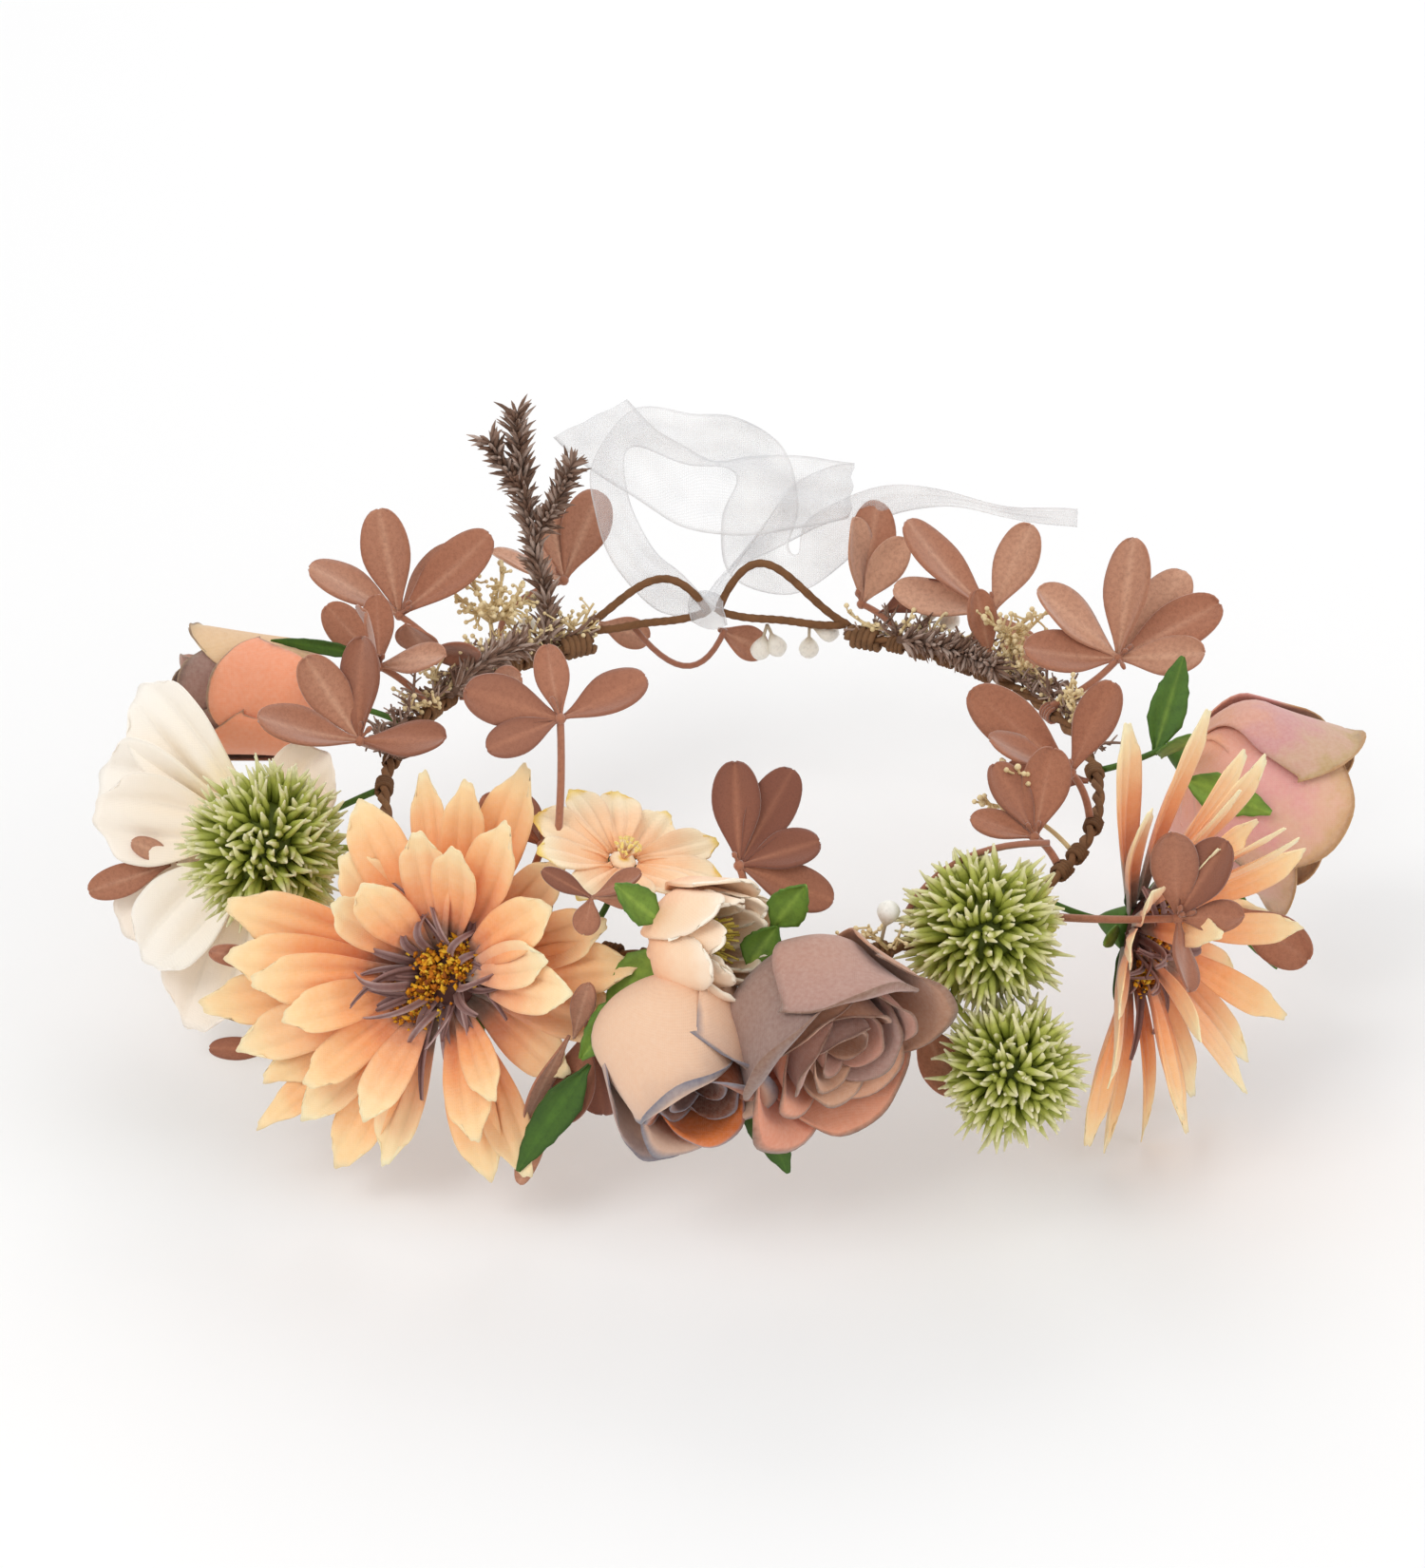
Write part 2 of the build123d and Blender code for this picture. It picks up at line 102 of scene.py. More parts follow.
class Shape:
    """Collects the points, faces and tones of one piece. A tone is along, across, tint, shade."""

    def __init__(self, seed):
        self.points, self.faces, self.flat, self.tones, self.count = [], [], [], [], 0
        self.rng = np.random.default_rng(seed)

    def add(self, points, faces, tones, flat=0):
        """The last faces, as many as flat, keep a crisp edge."""
        points = np.asarray(points, float).reshape(-1, 3)
        self.flat += [False] * (len(faces) - flat) + [True] * flat
        self.points.append(points)
        self.tones.append(np.broadcast_to(np.asarray(tones, float), (len(points), 4)))
        self.faces += [tuple(i + self.count for i in face) for face in faces]
        self.count += len(points)

    def sheet(self, points, u, v, tint, shade=0.0, thickness=0.35):
        """A closed thin sheet over a grid of points; u is 0 to 1 along it, and v -1 to 1 across it."""
        rows, cols = points.shape[:2]
        normal = np.cross(np.gradient(points, axis=0), np.gradient(points, axis=1))
        normal /= np.maximum(np.linalg.norm(normal, axis=2, keepdims=True), 1e-9)
        half = normal * thickness / 2
        both = np.concatenate([(points + half).reshape(-1, 3), (points - half).reshape(-1, 3)])
        size = rows * cols
        faces = []
        for i in range(rows - 1):
            for j in range(cols - 1):
                a = i * cols + j
                b, c, d = a + cols, a + cols + 1, a + 1
                faces += [(a, b, c, d), (d + size, c + size, b + size, a + size)]
        rim = list(range(cols)) + [i * cols + cols - 1 for i in range(1, rows)]
        rim += [(rows - 1) * cols + j for j in range(cols - 2, -1, -1)]
        rim += [i * cols for i in range(rows - 2, 0, -1)]
        for a, b in zip(rim, rim[1:] + rim[:1]):
            faces.append((a, b, b + size, a + size))
        tones = np.stack(np.broadcast_arrays(u * 1.0, v * 0.5 + 0.5, tint, shade), 2).reshape(-1, 4)
        self.add(both, faces, np.concatenate([tones, tones]), flat=len(rim))

    def tube(self, path, radius, sides, tint=0.5, closed=False):
        """A round bar along a path; radius is one number or one for each point."""
        path = np.asarray(path, float)
        count = len(path)
        radius = np.broadcast_to(np.asarray(radius, float), (count,))
        if closed:
            ahead = np.roll(path, -1, 0) - np.roll(path, 1, 0)
        else:
            ahead = np.gradient(path, axis=0)
        ahead /= np.maximum(np.linalg.norm(ahead, axis=1, keepdims=True), 1e-9)
        side = unit(np.cross(ahead[0], UP if abs(ahead[0][2]) < 0.9 else vec(1, 0, 0)))
        rings = []
        turns = np.arange(sides) * 2 * pi / sides
        for point, way, size in zip(path, ahead, radius):
            side = unit(side - way * np.dot(side, way))
            other = np.cross(way, side)
            around = np.outer(np.cos(turns), side) + np.outer(np.sin(turns), other)
            rings.append(point + size * around)
        points = np.concatenate(rings)
        faces = []
        for i in range(count if closed else count - 1):
            k = (i + 1) % count
            for j in range(sides):
                n = (j + 1) % sides
                faces.append((i * sides + j, i * sides + n, k * sides + n, k * sides + j))
        along = np.repeat(np.linspace(0, 1, count), sides)
        across = np.tile(np.arange(sides) / sides, count)
        tones = np.stack(np.broadcast_arrays(along, across, tint, 0.0), 1)
        if not closed:
            points = np.concatenate([points, path[:1], path[-1:]])
            tones = np.concatenate([tones, [(0, 0.5, tint, 0), (1, 0.5, tint, 0)]])
            last = (count - 1) * sides
            for j in range(sides):
                n = (j + 1) % sides
                faces += [(n, j, count * sides), (last + j, last + n, count * sides + 1)]
        self.add(points, faces, tones)

    def ball(self, centre, radius, stretch=1.0, axis=UP, tint=0.5, rings=6, sides=8):
        """A round bead, drawn out along axis by stretch."""
        axis = unit(axis)
        tilt = np.linspace(0.12, pi - 0.12, rings)
        path = np.asarray(centre) - np.outer(np.cos(tilt), axis) * radius * stretch
        self.tube(path, radius * np.sin(tilt), sides, tint)


def place(name, data):
    """Puts a mesh, a light or a camera in the scene."""
    made = bpy.data.objects.new(name, data)
    bpy.context.scene.collection.objects.link(made)
    return made


def aim_at(thing, target):
    """Turns a light or a camera towards a place."""
    thing.rotation_euler = (Vector(target) - thing.location).to_track_quat("-Z", "Y").to_euler()


def piece(name, shape, material, body="crown", node=None):
    """Makes a piece on its body, in the place of the node of its own name, of another, or of "none"."""
    mesh = bpy.data.meshes.new(name)
    mesh.from_pydata((np.concatenate(shape.points) * MM).tolist(), [], shape.faces)
    tone = mesh.attributes.new("tone", "FLOAT_COLOR", "POINT")
    tone.data.foreach_set("color", np.concatenate(shape.tones).astype(np.float32).ravel())
    mesh.polygons.foreach_set("use_smooth", [not crisp for crisp in shape.flat])
    mesh.materials.append(material)
    mesh.validate()
    made = place(name, mesh)
    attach(made, body)
    if node != "none":
        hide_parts(node or name)
    return made


def bow(start, end, sag, count=12):
    """A gently bent line from start to end; sag is how far its middle is pushed aside."""
    start, end = vec(*start), vec(*end)
    t = np.linspace(0, 1, count)[:, None]
    return start + (end - start) * t + np.multiply(sag, 4 * t * (1 - t))


# ---- materials


def linear(code):
    """A colour written as six hex digits, in Blender's linear values."""
    parts = [int(code[i:i + 2], 16) / 255 for i in (0, 2, 4)]
    return tuple(c / 12.92 if c <= 0.04045 else ((c + 0.055) / 1.055) ** 2.4 for c in parts) + (1.0,)


class Finish:
    """Builds one node material step by step."""

    def __init__(self, name, roughness=0.8, sheen=0.0, specular=0.3):
        self.material = bpy.data.materials.new(name)
        self.material.use_nodes = True
        self.nodes = self.material.node_tree.nodes
        self.links = self.material.node_tree.links
        self.shader = self.nodes["Principled BSDF"]
        self.shader.inputs["Roughness"].default_value = roughness
        self.shader.inputs["Specular IOR Level"].default_value = specular
        self.shader.inputs["Sheen Weight"].default_value = sheen
        self.shader.inputs["Sheen Roughness"].default_value = 0.5
        tone = self.nodes.new("ShaderNodeAttribute")
        tone.attribute_name = "tone"
        split = self.nodes.new("ShaderNodeSeparateColor")
        self.links.new(tone.outputs["Color"], split.inputs[0])
        self.along, self.tint, self.shade = split.outputs[0], split.outputs[2], tone.outputs["Alpha"]
        self.place = self.nodes.new("ShaderNodeTexCoord").outputs["Object"]

    def maths(self, how, a, b, clamp=False):
        node = self.nodes.new("ShaderNodeMath")
        node.operation, node.use_clamp = how, clamp
        for socket, value in zip(node.inputs, (a, b)):
            if isinstance(value, (int, float)):
                socket.default_value = value
            else:
                self.links.new(value, socket)
        return node.outputs[0]

    def noise(self, scale, detail=3.0):
        """Noise with features of about 1/scale metres."""
        node = self.nodes.new("ShaderNodeTexNoise")
        node.inputs["Scale"].default_value = scale
        node.inputs["Detail"].default_value = detail
        self.links.new(self.place, node.inputs["Vector"])
        return node.outputs["Fac"]

    def ramp(self, value, stops):
        node = self.nodes.new("ShaderNodeValToRGB")
        node.color_ramp.interpolation = "EASE"
        elements = node.color_ramp.elements
        while len(elements) < len(stops):
            elements.new(0.5)
        for element, (position, code) in zip(elements, stops.items()):
            element.position, element.color = position, linear(code)
        self.links.new(value, node.inputs[0])
        return node.outputs[0]

    def mix(self, a, b, factor):
        node = self.nodes.new("ShaderNodeMix")
        node.data_type = "RGBA"
        for socket, value in ((node.inputs[6], a), (node.inputs[7], b), (node.inputs[0], factor)):
            if isinstance(value, str):
                socket.default_value = linear(value)
            elif isinstance(value, (int, float)):
                socket.default_value = value
            else:
                self.links.new(value, socket)
        return node.outputs[2]

    def spread(self, value, low, high):
        """0 to 1 as value goes from low to high."""
        node = self.nodes.new("ShaderNodeMapRange")
        node.inputs["From Min"].default_value, node.inputs["From Max"].default_value = low, high
        self.links.new(value, node.inputs[0])
        return node.outputs[0]

    def bump(self, height, strength, distance):
        node = self.nodes.new("ShaderNodeBump")
        node.inputs["Strength"].default_value = strength
        node.inputs["Distance"].default_value = distance
        self.links.new(height, node.inputs["Height"])
        previous = self.shader.inputs["Normal"]
        if previous.is_linked:
            self.links.new(previous.links[0].from_socket, node.inputs["Normal"])
        self.links.new(node.outputs[0], previous)

    def colour(self, value):
        self.links.new(value, self.shader.inputs["Base Color"])
        return self.material

    def weave(self, strength=0.35, pitch=0.00045):
        """The crossed threads of thin cloth."""
        waves = []
        for direction in ("X", "Z"):
            node = self.nodes.new("ShaderNodeTexWave")
            node.bands_direction = direction
            node.inputs["Scale"].default_value = 0.314 / pitch
            node.inputs["Distortion"].default_value = 0.6
            self.links.new(self.place, node.inputs["Vector"])
            waves.append(node.outputs["Fac"])
        threads = self.maths("MULTIPLY", waves[0], waves[1])
        self.bump(threads, strength, 0.00012)
        return threads


def petal_cloth(name, stops, tints=None, tint_share=0.0, rim=None, rim_start=0.86, blotch=0.1):
    """Dyed petal cloth: colours along the petal, a tint for each petal, and a stained rim."""
    f = Finish(name, 0.78, sheen=0.25, specular=0.2)
    wander = f.maths("MULTIPLY", f.maths("SUBTRACT", f.noise(140), 0.5), 2 * blotch)
    along = f.maths("ADD", f.along, wander, clamp=True)
    colour = f.ramp(along, stops)
    if tints:
        colour = f.mix(colour, f.ramp(f.tint, tints), tint_share)
    if rim:
        edge = f.spread(f.maths("ADD", f.shade, wander), rim_start, 1.0)
        colour = f.mix(colour, rim, edge)
    fine = f.spread(f.noise(900, 4), 0.25, 0.75)
    colour = f.mix(colour, "fff4e4", f.maths("MULTIPLY", fine, 0.12))
    threads = f.weave()
    colour = f.mix(colour, "7c5a48", f.maths("MULTIPLY", threads, 0.05))
    f.bump(f.noise(260, 3), 0.35, 0.0006)
    return f.colour(colour)


def plain_matt(name, stops, mottle, lengthways=False, patch=330, grain=1200, bumps=0.4, roughness=0.8,
               sheen=0.0, specular=0.3):
    """A matt material: a colour ramp by tint, or lengthways, mottled and finely grained."""
    f = Finish(name, roughness, sheen, specular)
    colour = f.ramp(f.along if lengthways else f.tint, stops)
    patches = f.spread(f.noise(patch, 4), 0.42, 0.7)
    colour = f.mix(colour, mottle[0], f.maths("MULTIPLY", patches, mottle[1]))
    grains = f.noise(grain, 2)
    colour = f.mix(colour, "000000", f.maths("MULTIPLY", f.spread(grains, 0.5, 0.8), 0.18))
    f.bump(grains, bumps, 0.0002)
    return f.colour(colour)


DAISY_STOPS = {0: "44282a", 0.19: "7c463c", 0.33: "e07d46", 0.5: "f9a462", 0.74: "fcc68a",
               0.9: "fbdda4", 1: "f6e8b8"}
daisy_cloth = petal_cloth("daisy_cloth", DAISY_STOPS, {0: "ffb57c", 1: "f8ecd0"}, 0.2)
small_cloth = petal_cloth("small_daisy_cloth", {0: "f3b27c", 0.45: "f9cda2", 0.85: "fbe7c2",
                                                1: "f6d56e"})
white_cloth = petal_cloth("white_cloth", {0: "edc56e", 0.24: "f8dfa6", 0.5: "fbeeda",
                                          1: "fcf5ea"}, {0: "fbdcbc", 1: "fffaf2"}, 0.35)
cream_cloth = petal_cloth("cream_cloth", {0: "e6a070", 0.3: "f6bd92", 0.58: "fbd7b4",
                                          1: "fdf3e0"}, blotch=0.14)
bud_cloth = petal_cloth(
    "bud_cloth", {0: "d09a7c", 0.3: "e9c3a4", 0.66: "e0b99f", 0.86: "a5908f", 1: "868089"},
    {0: "8d7c80", 0.4: "eec3a0", 0.6: "e3b192", 0.8: "f27a1a", 1: "4a1a0e"}, 0.66,
    rim="787480", rim_start=0.62, blotch=0.14)
bud_heart_cloth = petal_cloth(
    "bud_heart_cloth", {0: "3a140c", 0.5: "74301a", 0.88: "93543c", 1: "8f7f84"},
    {0: "8d7c80", 0.4: "96624c", 0.8: "f77f1c", 1: "451809"}, 0.7, rim="8b8791", rim_start=0.84)
rose_cloth = petal_cloth(
    "rose_cloth", {0: "b06a4a", 0.4: "d79a76", 0.75: "c8927a", 1: "a47c6c"},
    {0: "7a6664", 0.22: "a27c74", 0.5: "f0946f", 0.75: "d69f7c", 1: "7c4426"}, 0.75,
    rim="85604e", rim_start=0.8, blotch=0.14)
pink_cloth = petal_cloth(
    "pink_cloth", {0: "f2a067", 0.25: "f0a98e", 0.5: "e39f9e", 0.74: "e0b795", 0.9: "cdb06f",
                   1: "b29a63"},
    {0: "e3a3a4", 0.5: "dc9a83", 0.8: "9c7069", 1: "84574e"}, 0.4,
    rim="b98c5c", rim_start=0.8, blotch=0.26)
torn_cloth = petal_cloth(
    "torn_cloth", {0: "e08e66", 0.35: "f0a47c", 0.7: "e3a281", 1: "b39170"},
    {0: "54403f", 0.2: "82686a", 0.62: "f59a72", 0.9: "d9b98a", 1: "dcc091"}, 0.75,
    rim="8b6f55", rim_start=0.85, blotch=0.14)
copper_suede = plain_matt("copper_suede", {0: "7f4d3c", 0.5: "ae7459", 1: "d3a286"},
                          ("84503c", 0.3), patch=900, grain=2400, bumps=0.5, roughness=0.95, sheen=0.5)
green_cloth = plain_matt("green_cloth", {0: "24400f", 0.5: "4c7220", 1: "8fae45"},
                         ("2c4a17", 0.35), grain=1500, roughness=0.6, specular=0.4)
thistle_spines = plain_matt("thistle_spines", {0: "5c661c", 0.35: "939c36", 0.68: "b9bd5c",
                                               0.88: "dcd79e", 1: "ede5c0"},
                            ("6d7f2c", 0.25), lengthways=True, roughness=0.6)
heather_needles = plain_matt("heather_needles", {0: "5d4638", 0.5: "8a6c5b", 1: "c3ada0"},
                             ("45342a", 0.3), roughness=0.85)
cream_plastic = plain_matt("cream_plastic", {0: "d9bf8a", 1: "efdcb0"}, ("c8ab72", 0.2),
                           roughness=0.7)
berry_gloss = plain_matt("berry_gloss", {0: "b9a88e", 0.35: "efeade", 1: "f7f5ee"},
                         ("e4dcc8", 0.15), lengthways=True, bumps=0.1, roughness=0.35, specular=0.5)
stamen_cloth = plain_matt("stamen_cloth", {0: "59372f", 0.5: "8d6a65", 1: "b29590"},
                          ("6d4d48", 0.3), roughness=0.75)
pollen = plain_matt("pollen", {0: "7a3d17", 0.35: "cf7a17", 0.7: "eaa51c", 1: "f4c93f"},
                    ("8a4a1c", 0.35), bumps=0.8, roughness=0.9)
bud_stamens = plain_matt("bud_stamens", {0: "6f6420", 0.6: "b39c34", 1: "e0c860"},
                         ("5a4a1a", 0.2))
wire_paper = plain_matt("wire_paper", {0: "5f4028", 0.5: "7e5839", 1: "9b7350"},
                        ("4b311f", 0.4), grain=1600, bumps=0.7, roughness=0.9)
crepe_tape = plain_matt("crepe_tape", {0: "5b3d28", 0.5: "7d5a3d", 1: "a17c58"},
                        ("4a3322", 0.35), grain=900, bumps=0.8, roughness=0.9)


# ---- petals and leaves


class Plane:
    """A flower's own axes: z looks out of its face, and x is level."""

    def __init__(self, origin, toward):
        self.origin = vec(*origin)
        self.z = unit(toward)
        self.x = unit(np.cross(UP, self.z))
        self.y = np.cross(self.z, self.x)

    def at(self, x, y, z):
        return (self.origin + np.multiply.outer(x, self.x) + np.multiply.outer(y, self.y)
                + np.multiply.outer(z, self.z))

    def lifted(self, height):
        return Plane(self.origin + self.z * height, self.z)

    def spoke(self, turn):
        """The way out from the middle at a turn, in radians from x."""
        return cos(turn) * self.x + sin(turn) * self.y


def add_long_petal(shape, plane, turn, foot, length, width, lift, droop, twist,
                   rows=19, cols=13, fold=0.26, waist=0.36, blunt=0.42):
    """One long petal, grooved, with a blunt toothed tip. lift, droop and twist are degrees."""
    rng = shape.rng
    u = np.linspace(0, 1, rows)[:, None]
    v = np.linspace(-1, 1, cols)[None, :]
    phase, lean = rng.uniform(0, 2 * pi), rng.uniform(-0.5, 0.5)
    shoulder = 0.62  # how far along the petal is widest
    narrowing = (1 - blunt) * np.clip((u - shoulder) / (1 - shoulder), 0, 1) ** 3
    half = width / 2 * (waist + (1 - waist) * ease(u, 0, shoulder)) * (1 - narrowing)
    teeth = 0.012 * u ** 9 * np.cos(2.3 * pi * v + phase)
    reach = u - 0.13 * u ** 6 * np.abs(v) ** 2.2 + teeth
    slope = radians(lift) - radians(droop) * u[:, 0] ** 1.3 + 0.10 * np.sin(5 * u[:, 0] + phase)
    step = length / (rows - 1)
    out, rise = np.cumsum(np.cos(slope)) * step, np.cumsum(np.sin(slope)) * step
    over = np.clip(reach - 1, 0, None) * length
    radial = foot + np.interp(reach, u[:, 0], out) + over * cos(slope[-1])
    height = np.interp(reach, u[:, 0], rise) + over * sin(slope[-1])
    groove = -0.26 * np.exp(-((np.abs(v) - 0.36) / 0.15) ** 2) * (1 - u ** 4)
    camber = fold * np.abs(v) ** 2 * (1.1 - 0.7 * u) * (1 + lean * np.sign(v))
    lifted = height + (camber + groove) * half + 0.035 * width * np.sin(4.2 * u + 2.4 * v + phase)
    angle = radians(twist) * u
    side, lifted = half * v * np.cos(angle), lifted + half * v * np.sin(angle)
    around = radians(turn)
    x = radial * cos(around) - side * sin(around)
    y = radial * sin(around) + side * cos(around)
    shape.sheet(plane.at(x, y, lifted), u, v, rng.uniform(0, 1), np.maximum(np.abs(v) ** 3, u ** 4))


def add_rose_petal(shape, plane, turn, wrap, radius, height, lean, lip, curl, tint, foot, rounding,
                   cup=0.0, sweep=0.0, thickness=0.35):
    """One petal of a rose: a bowl, then a wall that leans, then a lip that curls outwards."""
    phase = shape.rng.uniform(0, 2 * pi)
    u = np.linspace(0, 1, 22)[:, None]
    v = np.linspace(-1, 1, 25)[None, :]
    bowl_end, rim_start, bowl_share = 0.4, 0.82, 0.38
    bowl, wall = np.clip(u / bowl_end, 0, 1), np.clip((u - bowl_end) / (rim_start - bowl_end), 0, 1)
    rim = np.clip((u - rim_start) / (1 - rim_start), 0, 1)
    tall = height * (1 - rounding * np.abs(v) ** 2.4 + 0.03 * np.sin(3.1 * v + phase))
    reach = radius * (1 + 0.012 * np.sin(2.3 * v + phase))
    middle = 1 - 0.85 * v ** 2
    roll = radians(curl) * (0.85 + 0.3 * np.sin(2.2 * v + 2 * phase)) * rim * middle
    lip = lip * (0.4 + 0.6 * middle)
    opening = 0.5 + 0.5 * np.sin(pi / 2 * np.clip(u / 0.5, 0, 1))
    around = radians(turn) + radians(wrap) / 2 * v * opening + radians(sweep) * (u - 0.3)
    radial = foot + (reach - foot) * np.sin(pi / 2 * bowl) + lean * tall / height * wall ** 1.3
    tuck = 1.4 * v  # one edge lies inside the next petal, the other outside it
    radial = radial + lip * (1 - np.cos(roll)) + tuck - cup * v ** 2 * np.sin(pi * u / 1.3)
    radial = radial + 0.2 * wall * np.sin(7 * v + 3 * u + phase)
    ruffle = 0.03 * height * middle * np.sin(5.2 * v + phase) + 0.3 * np.sin(13 * v + 3 * phase)
    radial = np.maximum(radial + rim * ruffle, 0.4)
    up = tall * (bowl_share * (1 - np.cos(pi / 2 * bowl)) + (1 - bowl_share) * wall) + lip * np.sin(roll)
    shade = np.maximum(ease(u, 0.78, 1.0), np.abs(v) ** 7 * ease(u, 0.3, 0.8))
    points = plane.at(radial * np.cos(around), radial * np.sin(around), up)
    shape.sheet(points, u, v, tint, shade, thickness)


def add_leaf(shape, root, tip, normal, width, bend=0.12, camber=0.25, tint=None, widest=0.62,
             thickness=0.5, serrate=0.0, point=0.5):
    """A leaf blade from root to tip: narrow stalk, broad towards the tip, with a raised midrib."""
    rng = shape.rng
    along = np.subtract(tip, root)
    length = np.linalg.norm(along)
    ahead = along / length
    face = unit(normal - ahead * np.dot(normal, ahead))
    side = np.cross(face, ahead)
    u = 1 - (1 - np.linspace(0, 1, 18)[:, None]) ** 1.5
    v = np.linspace(-1, 1, 9)[None, :]
    narrow = np.sin(pi / 2 * np.clip(u / widest, 0, 1)) ** 1.6
    rounded = np.clip(1 - (np.clip(u - widest, 0, 1) / (1 - widest)) ** 2, 0, 1) ** point
    half = width / 2 * (0.1 + 0.9 * np.where(u < widest, narrow, rounded))
    half = half * (1 + serrate * np.sin(40 * u) * np.abs(v))
    phase = rng.uniform(0, 2 * pi)
    arch = bend * length * (u ** 2 - u)
    lift = camber * half * (np.abs(v) ** 1.5) + arch + 0.03 * width * np.sin(3 * v + 4 * u + phase)
    ridge = 0.05 * width * np.exp(-(v / 0.14) ** 2) * (1 - u)
    ripple = 0.02 * width * np.sin(9 * u + phase) * v ** 2
    points = (root + np.multiply.outer(u * length + 0 * v, ahead) + np.multiply.outer(half * v, side)
              + np.multiply.outer(lift + ridge + ripple, face))
    tint = rng.uniform(0.15, 0.85) if tint is None else tint
    # Lighter along the midrib, fading towards the tip: a painted highlight on the raised midrib.
    rib = np.exp(-(v / 0.13) ** 2) * 0.28 * (1 - 0.6 * u)
    edge = -0.12 * np.abs(v) ** 4
    shape.sheet(points, u, v, np.clip(tint + rib + edge, 0, 1), thickness=thickness)


def wound_line(around, radius, spin):
    """A line that winds round the band; around and spin are radians."""
    outward = RING_RADIUS + radius * np.cos(spin)
    return np.stack([outward * np.cos(around), outward * np.sin(around), radius * np.sin(spin)], 1)


def add_coil(shape, angle, radius, strand, turns, length, tint):
    """A strand wound round the band, centred at an angle."""
    t = np.linspace(-0.5, 0.5, int(turns * 14))
    line = wound_line(radians(angle) + t * length / RING_RADIUS, radius, t * turns * 2 * pi)
    shape.tube(line, strand, 6, tint)


# ---- stems and calyxes


def add_stem(shape, start, end, radius=STEM_RADIUS, tint=0.4, sag=1.2):
    """A stem that leaves the tape and bends a little on its way."""
    aside = unit(np.cross(end - start, UP + 0.01)) * sag
    shape.tube(bow(start, end, aside), np.linspace(radius * 1.15, radius, 12), 7, tint)


def make_calyx(name, plane, radius, depth, angle, clasp, reach=14.0):
    """The green cup under a flower: its sepals clasp the petals, and its stem runs to the band."""
    shape = Shape(len(name))
    t = np.linspace(0, 1, 7)
    neck = 1.3 * STEM_RADIUS
    profile = neck + (radius - neck) * t ** 0.8
    line = plane.origin + np.outer((t - 1) * depth, plane.z)
    shape.tube(line, profile, 14, 0.45)
    sepals = 5
    for k in range(sepals):
        turn = 2 * pi * (k + 0.3) / sepals
        outward = plane.spoke(turn)
        root = plane.origin + outward * radius * 0.75 - plane.z * 0.8
        way = unit(outward * cos(radians(clasp)) + plane.z * sin(radians(clasp)))
        add_leaf(shape, root, root + way * reach, -plane.z + 0.2 * outward, 5.5, bend=0.1, camber=0.2,
                 widest=0.35, thickness=0.4, point=0.9)
    end = plane.origin - plane.z * (depth - 0.3)
    add_stem(shape, taped(angle, end), end)
    piece(f"{name}_calyx", shape, green_cloth)


# ---- daisies


def make_daisy_petals(name, plane, rounds, seed):
    """rounds: node to its petals, each a turn, length, width, lift and level."""
    for node, petals in rounds.items():
        shape = Shape(seed + len(node))
        for turn, length, width, lift, level in petals:
            rng = shape.rng
            turn = turn + rng.uniform(-2, 2)
            add_long_petal(shape, plane.lifted(level), turn, 4.5, length, width * 0.86, lift,
                           rng.uniform(-2, 16), rng.uniform(-16, 16), blunt=rng.uniform(0.4, 0.6))
        piece(f"{name}_{node}", shape, daisy_cloth)


def make_daisy_disc(name, plane, seed):
    """The dark heart, its strap stamens and its crumbly pollen."""
    heart = Shape(seed)
    t = np.linspace(0, 1, 7)
    heart.tube(plane.origin + np.outer(4.2 * np.sin(t * pi / 2), plane.z), 9.0 * np.cos(t * 1.5), 18, 0.0)
    rng = heart.rng
    straps = 40
    long_straps = (27, 30, 32)
    for k in range(straps):
        turn = 2 * pi * k / straps + rng.uniform(-0.12, 0.12)
        outward, aside = plane.spoke(turn), plane.spoke(turn + pi / 2)
        root = plane.origin + outward * rng.uniform(4, 8) + plane.z * 2.2
        length, rise, swing = rng.uniform(9, 17), rng.uniform(0.2, 0.9), rng.uniform(-0.8, 0.8)
        if k in long_straps:
            length, rise, swing = 27, 0.15, 0.1
        t = np.linspace(0, 1, 10)
        spine = (root + np.outer(t * length * (1 - 0.3 * rise), outward)
                 + np.outer(length * rise * np.sin(t * rng.uniform(1.6, 3.2)), plane.z)
                 + np.outer(swing * length * t ** 2, aside))
        width = rng.uniform(0.9, 1.4) * (1 - 0.6 * t ** 3)
        face = unit(aside + rng.uniform(-0.7, 0.7) * plane.z)
        strip = np.stack([spine - np.outer(width, face), spine - 0.45 * plane.z,
                          spine + np.outer(width, face)], 1)
        edges = vec(-1, 0, 1)[None, :]
        grooved = np.clip(rng.uniform(0.3, 0.7) + 0.3 * (2 * np.abs(edges) - 1), 0, 1)
        heart.sheet(strip, t[:, None], edges, grooved, thickness=0.4)
    piece(f"{name}_stamens", heart, stamen_cloth, node=f"{name}_disc")
    crumbs = Shape(seed + 1)
    rng = crumbs.rng
    clumps = (5.5, 5.5, 2.9, 420), (-1, 0, 2.0, 150), (-4.5, -7.5, 2.7, 320), (-3, 4, 1.5, 90)
    for x, y, size, amount in clumps:
        for _ in range(amount):
            a, b = rng.normal(0, size, 2)
            lump = plane.at(x + a, y + b, 3.2 + rng.uniform(0, 4.2))
            crumbs.ball(lump, rng.uniform(0.35, 0.85), rng.uniform(0.5, 2.0), rng.normal(0, 1, 3),
                        rng.uniform(0, 1), 3, 4)
    piece(f"{name}_pollen", crumbs, pollen, node="none")


